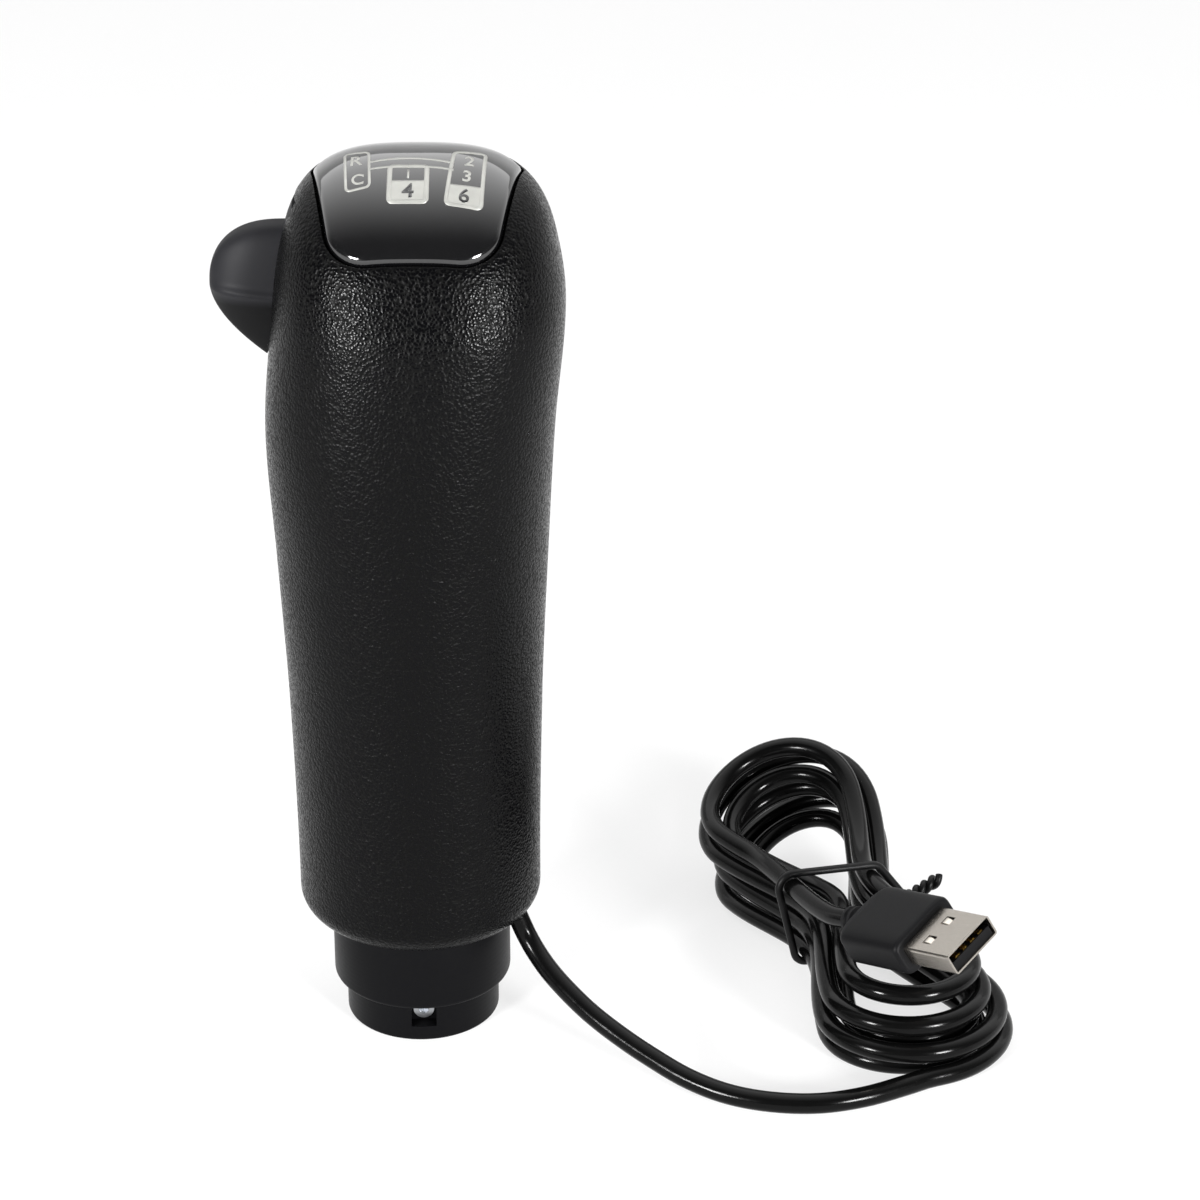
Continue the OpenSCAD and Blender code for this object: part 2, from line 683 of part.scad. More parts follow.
inner_route = [exit_point, exit_point + 0.3 * (inner_foot - exit_point), exit_point + 0.6 * (inner_foot - exit_point),
    exit_point + 0.88 * (inner_foot - exit_point), inner_foot + [0, 0, 3.5], inner_foot + [0, 0, 11],
    inner_foot + [0, 0, 22], [12.2, -4.6, clamp_z - 19], [9.4, -4.2, clamp_z - 14], [5.8, -3.9, clamp_z - 9.5],
    [2.8, -3.7, clamp_z - 5.5], [cord_x, cord_y, clamp_z - 2], [cord_x, cord_y, clamp_z + 3],
    [cord_x, cord_y, connector_z]];
module inner_cable() color([0.04, 0.04, 0.04]) {
    tube(curve(inner_route, 2), cable_d, 8, [0, 1, 0]);
}

// Hank: loops that spiral in and out in layers, drawn in at a waist, rolled up at the far end
layer_turns = 1.5;
layers = 4;
first_turn = -0.25;
climb_turns = 0.3;
loop_rings = 24;
hank_at = [85, 15];
hank_heading = -70;
waist_reach = 21;
waist_lift = 2;
lift_reach = 16;
far_fan = 0.3;
far_shift = 2.5;
far_start = 4;
far_length = 44;
low_side = 19;

// Loop position t, in turns, laid flat: along the hank, across it and up
function flat_loop(t) =
    let (k = max(floor(t / layer_turns), 0), f = t / layer_turns - k,
        r = hank_fold - hank_step * layer_turns * (k % 2 == 0 ? f : 1 - f),
        rise = [for (j = [1:layers - 1]) hank_rise * blend((t - j * layer_turns) / climb_turns + 0.5)],
        w = cable_d / 2 + rise * [1, 1, 1],
        mean = hank_fold - hank_step * layer_turns / 2, arc = PI * mean, run = hank_run,
        s = (t - floor(t)) * (4 * run + 2 * arc))
    s < run ? [-s, r, w] :
    s < run + arc ? let (a = (s - run) / mean * 180 / PI) [-run - r * sin(a), r * cos(a), w] :
    s < 3 * run + arc ? [s - 2 * run - arc, -r, w] :
    s < 3 * run + 2 * arc ? let (a = (s - 3 * run - arc) / mean * 180 / PI) [run + r * sin(a), -r * cos(a), w] :
    [4 * run + 2 * arc - s, r, w];
// The flat loop drawn in at the waist, fanned and rolled at the far end, and set on the table
function hank_point(t) =
    let (p = flat_loop(t), u = p[0],
        v = p[1] - hank_waist * exp(-(u / waist_reach)^2) * min(max(p[1] / 6, -1), 1),
        w = p[2] + waist_lift * exp(-(u / lift_reach)^2),
        far = blend((-u - far_start) / far_length),
        along = u + far_shift * sin(10 * w) * u / 50,
        half = (layers - 1) / 2 * hank_rise,
        fan = 1 + far_fan * far,
        h = (w - cable_d / 2 - half) * fan,
        roll = hank_roll * far,
        across = v * cos(roll) - h * sin(roll),
        up = (half * fan + cable_d / 2) * cos(roll) + low_side * sin(roll) + v * sin(roll) + h * cos(roll))
    [hank_at[0] + along * cos(hank_heading) - across * sin(hank_heading),
        hank_at[1] + along * sin(hank_heading) + across * cos(hank_heading), up];
loop_count = ceil((hank_turns - first_turn) * loop_rings);
function loop_at(i) = hank_point(first_turn + (hank_turns - first_turn) * i / loop_count);
loop_points = [for (i = [0:loop_count]) loop_at(i)];
hank_start = loop_points[0];
hank_start_dir = unit(loop_points[1] - loop_points[0]);
hank_end = loop_points[loop_count];
hank_end_dir = unit(loop_points[loop_count] - loop_points[loop_count - 1]);

// Plug on the hank: where the lead enters its boot, and how it lies
plug_at = [84, -8.7, 23.8];
plug_yaw = -54;
plug_pitch = 18;
plug_roll = 24;
plug_dir = [cos(plug_yaw) * cos(plug_pitch), sin(plug_yaw) * cos(plug_pitch), sin(plug_pitch)];
tail_pull = 24;
tail_rings = 10;
tail_end = plug_at - cable_d * plug_dir;
tail = [for (i = [1:tail_rings]) let (s = i / tail_rings)
    (2 * s^3 - 3 * s^2 + 1) * hank_end + (s^3 - 2 * s^2 + s) * tail_pull * hank_end_dir +
    (3 * s^2 - 2 * s^3) * tail_end + (s^3 - s^2) * tail_pull * plug_dir];
hank_path = concat(loop_points, tail, [plug_at]);

// Least distance between two stretches of a path that are more than skip points apart, less its diameter
function to_segment(p, a, b) = let (d = b - a, t = min(max((p - a) * d / (d * d), 0), 1)) norm(p - a - d * t);
function least_gap(path, d, skip) = min([for (i = [0:len(path) - 1], j = [0:len(path) - 2])
    if (abs(i - j) > skip) to_segment(path[i], path[j], path[j + 1])]) - d;
module cable_hank() color([0.04, 0.04, 0.04]) {
    echo(hank_least_gap = least_gap(hank_path, cable_d, 6));
    tube(hank_path, cable_d, 6, [0, 0, 1]);
}

// Free lead: straight out of the rim, down, then along the table to the hank
lead_route = [exit_point, [20.8, -7.6, 19.8], [22.8, -9.6, 16.9], [25.6, -12.8, 14.3], [29.2, -16.4, 11.9],
    [33.6, -20.2, 9.4], [39, -24.2, 7], [45, -28.4, 4.9], [52, -33, 3], [59.6, -37, 2.1], [68, -39.6, 2],
    [77, -40, 2], [85.6, -37.8, 2], [93.6, -33.9, 2], hank_start - cable_d * hank_start_dir, hank_start];
module cable_lead() color([0.04, 0.04, 0.04]) {
    tube(curve(lead_route, 3), cable_d, 8, [0, 0, 1]);
}

// Tie: one turn of plastic-covered wire round the waist
tie_square = 7;
tie_rings = 32;
tie_at = [-1, 0.4, 14.05];
tie_half = [15.2, 13.2];
module cable_tie() color([0.05, 0.05, 0.05]) {
    across = [-sin(hank_heading), cos(hank_heading), 0];
    axis = [cos(hank_heading), sin(hank_heading), 0];
    centre = [hank_at[0], hank_at[1], tie_at[2]] + tie_at[0] * axis + tie_at[1] * across;
    point = function (a) centre + across * tie_half[0] * sign(cos(a)) * abs(cos(a))^(2 / tie_square) +
        [0, 0, tie_half[1] * sign(sin(a)) * abs(sin(a))^(2 / tie_square)];
    hoop([for (i = [0:tie_rings - 1]) point(360 * (i + 0.5) / tie_rings)], tie_d, 6, axis);
}
// Tube round a closed path that lies square to an axis
module hoop(path, d, sides, axis) {
    n = len(path);
    ring = function (i) let (t = unit(path[(i + 1) % n] - path[(i + n - 1) % n]), s = cross(axis, t))
        [for (k = [0:sides - 1]) let (a = 360 * k / sides) path[i] + d / 2 * (cos(a) * s + sin(a) * axis)];
    faces = [for (i = [0:n - 1], k = [0:sides - 1])
        let (a = i * sides + k, b = i * sides + (k + 1) % sides,
            c = ((i + 1) % n) * sides + (k + 1) % sides, e = ((i + 1) % n) * sides + k)
        each [[a, c, b], [a, e, c]]];
    polyhedron([for (i = [0:n - 1]) each ring(i)], faces);
}

// Plug: moulded body with a boot, a folded metal shell, the contact tongue and its four contacts
module on_plug() {
    translate(plug_at) rotate([0, 0, plug_yaw]) rotate([0, -plug_pitch, 0]) rotate([plug_roll, 0, 0]) children();
}
function rect(w, h) = [[-w / 2, -h / 2], [w / 2, -h / 2], [w / 2, h / 2], [-w / 2, h / 2]];
// Bar along +X with a rounded rectangular section
module bar(x, l, w, h, r) {
    translate([x, 0, 0]) rotate([90, 0, 90]) linear_extrude(l) polygon(rounded(rect(w, h), r, 5));
}
boot_d = 6.4;
body_corner = 2.2;
shell_corner = 0.6;
shell_in = 4;
tongue_t = 1.9;
contact_size = [8, 1.2, 0.2];
contact_pitch = 2.2;
body_end = boot_l + plug_body_size[0];
shell_end = body_end + plug_shell_size[0];
shell_win = [2.4, 2.2];
shell_win_x = body_end + 3.6;
shell_win_y = 2.7;
tongue_back = 9;
tongue_recess = 0.6;
module plug_body() color([0.06, 0.06, 0.06]) on_plug() {
    difference() {
        union() {
            rotate([0, 90, 0]) cylinder(d1 = cable_d + 1.4, d2 = boot_d, h = boot_l + over);
            bar(boot_l, plug_body_size[0], plug_body_size[1], plug_body_size[2], body_corner);
        }
        bar(body_end - shell_in, shell_in + over, plug_shell_size[1], plug_shell_size[2], shell_corner);
    }
}
module plug_shell() color([0.75, 0.73, 0.7]) on_plug() {
    difference() {
        bar(body_end - shell_in, plug_shell_size[0] + shell_in, plug_shell_size[1], plug_shell_size[2], shell_corner);
        bar(body_end - shell_in - over, plug_shell_size[0] + shell_in + 2 * over,
            plug_shell_size[1] - 2 * shell_t, plug_shell_size[2] - 2 * shell_t, shell_corner - shell_t);
        for (y = [-shell_win_y, shell_win_y])
            translate([shell_win_x, y - shell_win[1] / 2, -plug_shell_size[2]])
                cube([shell_win[0], shell_win[1], 2 * plug_shell_size[2]]);
    }
}
tongue_low = -plug_shell_size[2] / 2 + shell_t;
module plug_tongue() color([0.08, 0.08, 0.08]) on_plug() {
    w = plug_shell_size[1] - 2 * shell_t - 2 * fit;
    h = plug_shell_size[2] - 2 * shell_t;
    block([body_end - shell_in, -w / 2, tongue_low], [shell_end - tongue_recess, w / 2, tongue_low + tongue_t]);
    block([body_end - shell_in, -w / 2, tongue_low], [shell_end - plug_shell_size[0] + over, w / 2, tongue_low + h]);
}
module plug_contacts() color([0.85, 0.68, 0.3]) on_plug() {
    for (i = [-1.5:1:1.5])
        translate([shell_end - tongue_back, i * contact_pitch - contact_size[1] / 2, tongue_low + tongue_t])
            cube(contact_size);
}

grip_sleeve();
core_front();
core_rear();
core_screws();
gear_cap();
cap_screws();
neck_socket();
lever_insert();
grub_screws();
circuit_board();
board_screws();
controller_chip();
board_parts();
board_socket();
cable_connector();
slide_switch();
switch_peg();
range_paddle();
pivot_pin();
pivot_spacer();
cord_clamp();
clamp_screws();
inner_cable();
cable_lead();
cable_hank();
cable_tie();
plug_body();
plug_shell();
plug_tongue();
plug_contacts();
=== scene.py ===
import math
import bmesh
import bpy
import numpy as np
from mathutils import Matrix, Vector


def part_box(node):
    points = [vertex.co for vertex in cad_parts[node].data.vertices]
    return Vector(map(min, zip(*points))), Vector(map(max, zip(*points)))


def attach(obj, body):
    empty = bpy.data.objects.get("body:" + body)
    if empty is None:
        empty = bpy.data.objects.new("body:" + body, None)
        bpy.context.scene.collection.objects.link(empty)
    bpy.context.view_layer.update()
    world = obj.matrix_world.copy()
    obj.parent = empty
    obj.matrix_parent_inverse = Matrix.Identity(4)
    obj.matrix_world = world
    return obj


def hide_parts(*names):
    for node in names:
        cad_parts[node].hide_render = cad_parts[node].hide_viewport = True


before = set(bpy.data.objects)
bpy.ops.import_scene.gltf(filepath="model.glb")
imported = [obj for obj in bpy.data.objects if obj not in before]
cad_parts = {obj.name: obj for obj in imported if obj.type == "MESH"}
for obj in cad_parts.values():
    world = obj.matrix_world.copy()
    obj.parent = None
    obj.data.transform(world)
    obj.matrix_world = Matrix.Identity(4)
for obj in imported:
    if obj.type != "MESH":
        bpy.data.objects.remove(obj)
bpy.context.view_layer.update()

# Camera: a long lens a little over half a metre from the knob, square to its front and tilted
# 25.8 degrees down, as the photograph was taken.
scene = bpy.context.scene
scene.view_settings.view_transform = "Standard"
photo_camera = bpy.data.objects.new("photo_camera", bpy.data.cameras.new("photo_camera"))
photo_camera.data.lens = 110.04
photo_camera.data.sensor_width = 36
photo_camera.location = (0.0352, -0.6254, 0.3911)
photo_camera.rotation_euler = (math.radians(64.2), 0, 0)
scene.collection.objects.link(photo_camera)
scene.camera = photo_camera


# Photo table: one white sheet that lies flat under the knob and bends up behind it. A tent of white
# cloth glows above and behind, the room in front is dim, and two lamps stand low on either side of
# the camera. The sheet is matt board, and it keeps the knob's soft shadow.
def linear(code):
    """A hex colour in sRGB as linear red, green, blue and alpha: small channels are divided by 12.92,
    the others are ((c + 0.055) / 1.055) to the power 2.4."""
    c = np.array([int(code[i:i + 2], 16) for i in (1, 3, 5)]) / 255
    return (*np.where(c <= 0.04045, c / 12.92, ((c + 0.055) / 1.055) ** 2.4).tolist(), 1.0)


def feed(node, inputs):
    """Gives sockets of a node what they take: a constant, another node's output, or a node, whose first
    output is meant."""
    for socket, value in dict(inputs).items():
        value = value.outputs[0] if isinstance(value, bpy.types.Node) else value
        if isinstance(value, bpy.types.NodeSocket):
            node.id_data.links.new(value, node.inputs[socket])
        else:
            node.inputs[socket].default_value = value


def add_node(material, kind, inputs=(), **settings):
    """Adds one node: settings are its properties, and inputs are fed to its sockets."""
    made = material.node_tree.nodes.new("ShaderNode" + kind)
    for name, value in settings.items():
        setattr(made, name, value)
    feed(made, inputs)
    return made


def grid_faces(count, around, wrap):
    """Quads between the neighbours of a grid of count rows, each with around points. With wrap, each
    row is a ring whose last point joins its first."""
    index = np.arange(count * around).reshape(count, around)
    a, d = index[:-1], index[1:]
    b, c = np.roll(a, -1, 1), np.roll(d, -1, 1)
    quads = np.stack([a, b, c, d], -1)
    return (quads if wrap else quads[:, :-1]).reshape(-1, 4)


def solid(name, points, faces, crease=38):
    """A mesh object from points in millimetres, smooth except at edges sharper than crease degrees."""
    mesh = bpy.data.meshes.new(name)
    mesh.from_pydata((np.asarray(points).reshape(-1, 3) * 0.001).tolist(), [], faces)
    mesh.shade_smooth()
    mesh.set_sharp_from_angle(angle=math.radians(crease))
    made = bpy.data.objects.new(name, mesh)
    scene.collection.objects.link(made)
    return made


sheet_flat, sheet_bend, sheet_upright = 1100, 600, 2043


def table_sheet(across, along):
    """The sheet's points: across is x, and along is the way walked over the sheet, flat up to 1.1 m
    behind the knob, then on a quarter circle of 0.6 m, then straight up."""
    turn = np.clip((along - sheet_flat) / sheet_bend, 0, math.pi / 2)
    y = np.minimum(along, sheet_flat) + sheet_bend * np.sin(turn)
    z = sheet_bend * (1 - np.cos(turn)) + np.maximum(along - sheet_flat - sheet_bend * math.pi / 2, 0)
    x, y = np.meshgrid(across, y)
    return np.stack([x, y, np.broadcast_to(z[:, None], x.shape)], -1)


sheet_across = np.linspace(-2600, 2600, 9)
sheet_along = np.concatenate([np.linspace(-2600, sheet_flat, 12),
                              np.linspace(sheet_flat, sheet_upright, 24)[1:], [2900]])
table = solid("photo_table", table_sheet(sheet_across, sheet_along),
              grid_faces(len(sheet_along), len(sheet_across), False).tolist())

# Matt white board. Most of what the camera, or a mirror, sees of it is plain white, so the paper
# comes out white and its shadows stay light.
board_white = bpy.data.materials.new("matt_white_card")
board_white.use_nodes = True
board_white.node_tree.nodes.clear()
seen = add_node(board_white, "LightPath").outputs
seen_direct = add_node(board_white, "Math", {0: seen["Is Camera Ray"], 1: seen["Is Glossy Ray"]},
                       operation="MAXIMUM")
seen_any = add_node(board_white, "Math", {0: seen_direct, 1: seen["Is Transmission Ray"]},
                    operation="MAXIMUM")
white_share = add_node(board_white, "Math", {0: seen_any, 1: 0.7}, operation="MULTIPLY")
place = add_node(board_white, "TexCoord").outputs["Object"]
fibre = add_node(board_white, "TexNoise", {"Vector": place, "Scale": 900.0, "Detail": 3.0}).outputs["Fac"]
tone = add_node(board_white, "MixRGB",
                {"Fac": fibre, "Color1": linear("#E6E6E6"), "Color2": linear("#ECECEC")})
card = add_node(board_white, "BsdfDiffuse", {"Color": tone, "Roughness": 0.6})
plain = add_node(board_white, "Emission", {"Color": (1, 1, 1, 1), "Strength": 1.0})
both = add_node(board_white, "MixShader", {0: white_share, 1: card, 2: plain})
add_node(board_white, "OutputMaterial", {"Surface": both})
table.data.materials.append(board_white)

# The tent's glow grows evenly from the dim front to the bright back: it follows how far a direction
# points back, +Y, and a little up.
studio = bpy.data.worlds.new("studio_air")
studio.use_nodes = True
sky = add_node(studio, "TexCoord").outputs["Generated"]
sky_way = add_node(studio, "VectorMath", {0: sky, 1: (0.0, 0.87, 0.5)}, operation="DOT_PRODUCT")
glow = add_node(studio, "MapRange", {"Value": sky_way.outputs["Value"], "From Min": -0.1, "From Max": 0.95,
                                     "To Min": 0.1, "To Max": 2.6}, interpolation_type="SMOOTHSTEP")
feed(studio.node_tree.nodes["Background"], {"Color": linear("#FFFFFF"), "Strength": glow})
scene.world = studio


def soft_lamp(name, at, aim, size, power):
    """A square soft box at a point in metres, turned to aim at another."""
    lamp = bpy.data.objects.new(name, bpy.data.lights.new(name, "AREA"))
    lamp.data.size, lamp.data.energy = size, power
    lamp.location = at
    lamp.rotation_euler = (Vector(aim) - Vector(at)).to_track_quat("-Z", "Y").to_euler()
    scene.collection.objects.link(lamp)


soft_lamp("soft_lamp_left", (-0.61, -0.77, 0.29), (0, 0, 0.13), 0.2, 14.0)
soft_lamp("soft_lamp_right", (0.64, -0.75, 0.26), (0, 0, 0.13), 0.2, 14.0)


# Lever insert and grub screws: a turned aluminium sleeve for the gear lever, clamped by three
# zinc-plated steel grub screws that show in the windows of the neck's foot.
def new_material(name):
    """A new material with nodes, and its shader."""
    made = bpy.data.materials.new(name)
    made.use_nodes = True
    return made, made.node_tree.nodes["Principled BSDF"]


def coat(material, *names):
    """Puts a material on CAD nodes, in place of what they had."""
    for name in names:
        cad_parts[name].data.materials.clear()
        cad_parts[name].data.materials.append(material)


def ring_marks(material, scale):
    """Fine rings round the Z axis, as a lathe tool leaves them: bands along Z, broken up by a little
    noise. Gives the bands' strength."""
    place = add_node(material, "TexCoord").outputs["Object"]
    bands = add_node(material, "TexWave",
                     {"Vector": place, "Scale": scale, "Distortion": 0.6, "Detail": 2.0, "Detail Scale": 1.5},
                     wave_type="BANDS", bands_direction="Z")
    return bands.outputs["Fac"]


def speckled(name, noise, tones, dullness, constants=(), relief=None, dents=None, span=(0, 1)):
    """A finish from fine noise. One noise runs between two tones and, over a span of its values,
    between two dullnesses. With relief, a strength and a depth in metres, the noise called dents, or
    else the same one, also dents the surface. Constants are fed to the shader."""
    made, its_shader = new_material(name)
    place = add_node(made, "TexCoord").outputs["Object"]
    speck = add_node(made, "TexNoise", {"Vector": place, **noise}).outputs["Fac"]
    mixed = add_node(made, "MixRGB", {"Fac": speck, "Color1": linear(tones[0]), "Color2": linear(tones[1])})
    spread = add_node(made, "MapRange", {"Value": speck, "From Min": span[0], "From Max": span[1],
                                         "To Min": dullness[0], "To Max": dullness[1]})
    feed(its_shader, {"Base Color": mixed, "Roughness": spread, **dict(constants)})
    if relief:
        dent = add_node(made, "TexNoise", {"Vector": place, **dents}).outputs["Fac"] if dents else speck
        bumps = add_node(made, "Bump", {"Height": dent, "Strength": relief[0], "Distance": relief[1]})
        feed(its_shader, {"Normal": bumps})
    return made


# Turned aluminium: tool rings about 0.8 mm apart roughen a bright grey metal.
turned_aluminium, shader = new_material("turned_aluminium")
rings = ring_marks(turned_aluminium, 400.0)
dull = add_node(turned_aluminium, "MapRange", {"Value": rings, "To Min": 0.24, "To Max": 0.4})
cut = add_node(turned_aluminium, "Bump", {"Height": rings, "Strength": 0.3, "Distance": 0.00003})
feed(shader, {"Base Color": linear("#C9CACD"), "Metallic": 1.0, "Roughness": dull, "Normal": cut})
coat(turned_aluminium, "lever_insert")

# Zinc-plated steel: a cool grey metal with cloudy patches of about 2 mm left by the bath.
zinc_steel = speckled("zinc_plated_steel", {"Scale": 500.0, "Detail": 4.0}, ("#A9ABB0", "#CFD1D4"),
                      (0.22, 0.42), {"Metallic": 1.0})
coat(zinc_steel, "grub_screws", "core_screws", "cap_screws", "board_screws", "clamp_screws", "pivot_pin")


# Neck: the smooth black collar and stepped foot under the grip, turned from acetal, with a window
# over each grub screw. Its flange is held between the halves of the core.
def skin(rows):
    """Faces of a closed skin over a stack of rings, filled at both ends from an added middle point,
    and all the points. Rings run counter-clockwise seen from beyond the last one."""
    count, around = rows.shape[:2]
    ends = np.array([rows[0].mean(0), rows[-1].mean(0)])
    j = np.arange(around)
    k = np.roll(j, -1)
    last = (count - 1) * around
    foot = np.stack([np.full(around, count * around), k, j], -1)
    head = np.stack([np.full(around, count * around + 1), last + j, last + k], -1)
    faces = grid_faces(count, around, True).tolist() + foot.tolist() + head.tolist()
    return np.vstack([rows.reshape(-1, 3), ends]), faces


def closed(name, rows):
    """A solid with a closed skin over a stack of rings."""
    return solid(name, *skin(rows))


def unit(v):
    """Vectors of length 1 along v."""
    return v / np.linalg.norm(v, axis=-1, keepdims=True)


def eased(corners, radii, steps=6):
    """A line of straight runs with each corner rounded: from a corner p the run is left at radius r
    before it and met again r after it, on the curve (1-t)^2 a + 2t(1-t) p + t^2 b."""
    p = np.array(corners, float)
    before, after = np.vstack([p[:1], p[:-1]]), np.vstack([p[1:], p[-1:]])
    r = np.array(radii, float)[:, None]
    a = p + (before - p) * (r / np.maximum(np.linalg.norm(before - p, axis=1, keepdims=True), 1e-9))
    b = p + (after - p) * (r / np.maximum(np.linalg.norm(after - p, axis=1, keepdims=True), 1e-9))
    t = np.linspace(0, 1, steps)[None, :, None]
    curves = (1 - t) ** 2 * a[:, None] + 2 * t * (1 - t) * p[:, None] + t ** 2 * b[:, None]
    line = curves.reshape(-1, p.shape[1])
    kept = np.concatenate([[True], np.linalg.norm(np.diff(line, axis=0), axis=1) > 1e-6])
    return line[kept]


def turned(profile, around):
    """Rings of a turned shape: each (radius, height) of the profile carried round the Z axis."""
    a = np.linspace(0, 2 * math.pi, around, endpoint=False)
    r, z = profile[:, 0, None], profile[:, 1, None]
    return np.stack([r * np.cos(a), r * np.sin(a), np.broadcast_to(z, (len(profile), around))], -1)


def carve(body, tool, operation="DIFFERENCE", crease=38):
    """Cuts the tool's solid out of a body, joins it on or keeps what both share, takes the tool away
    and marks the new sharp edges."""
    cut = body.modifiers.new("cut", "BOOLEAN")
    cut.solver, cut.operation, cut.object = "EXACT", operation, tool
    made = bpy.data.meshes.new_from_object(body.evaluated_get(bpy.context.evaluated_depsgraph_get()))
    body.modifiers.clear()
    body.data = made
    made.shade_smooth()
    made.set_sharp_from_angle(angle=math.radians(crease))
    bpy.data.objects.remove(tool)


def rod(start, end, radius, around=48):
    """Rings of a round rod from one point to another."""
    start, end = np.array(start, float), np.array(end, float)
    way = unit(end - start)
    side = unit(np.cross(way, [0.0, 0.0, 1.0] if abs(way[2]) < 0.9 else [1.0, 0.0, 0.0]))
    a = np.linspace(0, 2 * math.pi, around, endpoint=False)[:, None]
    ring = radius * (np.cos(a) * side + np.sin(a) * np.cross(way, side))
    return np.stack([start + ring, end + ring])


def box_rings(low, high):
    """Rings of a box between two corners: its outline at the lower and the upper level."""
    x = np.array([low[0], high[0], high[0], low[0]])
    y = np.array([low[1], low[1], high[1], high[1]])
    return np.stack([np.stack([x, y, np.full(4, z)], -1) for z in (low[2], high[2])]).astype(float)


neck_profile = eased(
    [(0.01, 57.5), (9.55, 57.5), (9.55, 0), (15, 0), (15, 8.5), (17.4, 8.5), (17.4, 24.6), (13.5, 24.6),
     (13.5, 29.6), (15.5, 29.6), (15.5, 32.6), (11.4, 32.6), (11.4, 60), (0.01, 60)],
    [0, 0.1, 0.5, 0.7, 0.35, 1.0, 0.4, 0.2, 0.2, 0.4, 0.4, 0.3, 0.8, 0])
neck = closed("neck", turned(neck_profile, 160))
window_low, window_high = (12, -2.45, 3.2), (20, 2.45, 8.2)
grub_level, grub_radius = 5.7, 2.05
for turn in np.radians(-87 + 120 * np.arange(3)):
    c, s = math.cos(turn), math.sin(turn)
    spin = np.array([[c, s, 0], [-s, c, 0], [0, 0, 1]])
    carve(neck, closed("window", box_rings(window_low, window_high) @ spin))
    carve(neck, closed("grub_hole", rod((5, 0, grub_level), (20, 0, grub_level), grub_radius) @ spin))
lead_turn = math.radians(-20)
lead_side = np.array([math.cos(lead_turn), math.sin(lead_turn)])
lead_exit, lead_inner = np.append(20.45 * lead_side, 23.5), np.append(13.8 * lead_side, 38.0)
lead_way = unit(lead_inner - lead_exit)
lead_bore = rod(lead_exit - 3 * lead_way, lead_inner + 1.5 * lead_way, 2.4)
carve(neck, closed("lead_way", lead_bore))

# Acetal, turned and then tumbled satin: near black, with a soft sheen and faint tool rings about 1 mm
# apart.
satin_acetal = speckled("satin_black_acetal", {"Scale": 1400.0, "Detail": 3.0}, ("#08080A", "#0C0C0D"),
                        (0.3, 0.44), {"IOR": 1.48, "Specular IOR Level": 0.07})
rings = ring_marks(satin_acetal, 320.0)
cut = add_node(satin_acetal, "Bump", {"Height": rings, "Strength": 0.12, "Distance": 0.00003})
feed(satin_acetal.node_tree.nodes["Principled BSDF"], {"Normal": cut})
neck.data.materials.append(satin_acetal)
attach(neck, "knob")
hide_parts("neck_socket")


# Core: the two moulded halves inside the grip, which hold the neck, the board and the paddle's pin,
# and the bar that clamps the lead. Black ABS as it leaves a spark-eroded mould.
eroded_abs = speckled("spark_eroded_black_abs", {"Scale": 3000.0, "Detail": 4.0}, ("#202022", "#2B2B2D"),
                      (0.5, 0.68), {"IOR": 1.53}, relief=(0.35, 0.00004))
coat(eroded_abs, "core_front", "core_rear", "cord_clamp")

# Board and its parts: a lacquered glass-fibre board with a moulded chip, a nylon socket and plug,
# and the slide switch whose peg the paddle's fork moves.
green_board, shader = new_material("lacquered_glass_fibre")
place = add_node(green_board, "TexCoord").outputs["Object"]
weave = add_node(green_board, "TexBrick",
                 {"Vector": place, "Scale": 300.0, "Color1": linear("#14532F"), "Color2": linear("#17603A"),
                  "Mortar": linear("#2C7A4E"), "Mortar Size": 0.04})
lacquer = add_node(green_board, "Bump",
                   {"Height": weave.outputs["Fac"], "Strength": 0.2, "Distance": 0.00003})
feed(shader, {"Base Color": weave.outputs["Color"], "Roughness": 0.3, "Normal": lacquer})
coat(green_board, "circuit_board")
# The moulded parts share a grain of about 0.4 mm.
moulded_grain, moulded_relief = {"Scale": 2500.0, "Detail": 3.0}, (0.15, 0.00003)
for name, tones, dullness, nodes in (
        ("black_epoxy", ("#1C1C1D", "#262627"), (0.5, 0.65),
         ("controller_chip", "board_parts", "slide_switch")),
        ("natural_nylon", ("#D9D3BF", "#E4DFCE"), (0.35, 0.5),
         ("board_socket", "cable_connector", "pivot_spacer")),
        ("pale_acetal", ("#CFCFC8", "#DADAD4"), (0.3, 0.42), ("switch_peg",))):
    coat(speckled(name, moulded_grain, tones, dullness, relief=moulded_relief), *nodes)


# Lead inside the grip: the same black sheathed lead, from its way out under the rim up to the
# connector on the board.
def through(points, steps):
    """A smooth curve through points: on each stretch the cubic that leaves and meets its ends along
    the line between their neighbours."""
    p = np.array(points, float)
    i = np.arange(len(p) - 1)
    a, b, c, e = p[np.maximum(i - 1, 0)], p[i], p[i + 1], p[np.minimum(i + 2, len(p) - 1)]
    a, b, c, e = (q[:, None] for q in (a, b, c, e))
    t = np.linspace(0, 1, steps, endpoint=False)[None, :, None]
    bend, twist = (2 * a - 5 * b + 4 * c - e) / 2, (3 * b - a - 3 * c + e) / 2
    line = b + (c - a) / 2 * t + bend * t ** 2 + twist * t ** 3
    return np.vstack([line.reshape(-1, 3), p[-1:]])


def tube(path, radius, around, ref):
    """Rings of a round tube: at each point of the path a circle square to it, started from the
    direction ref."""
    way = unit(np.gradient(path, axis=0))
    side = unit(np.cross(way, ref))
    a = np.linspace(0, 2 * math.pi, around, endpoint=False)[None, :, None]
    return path[:, None] + radius * (np.cos(a) * side[:, None] + np.sin(a) * np.cross(way, side)[:, None])


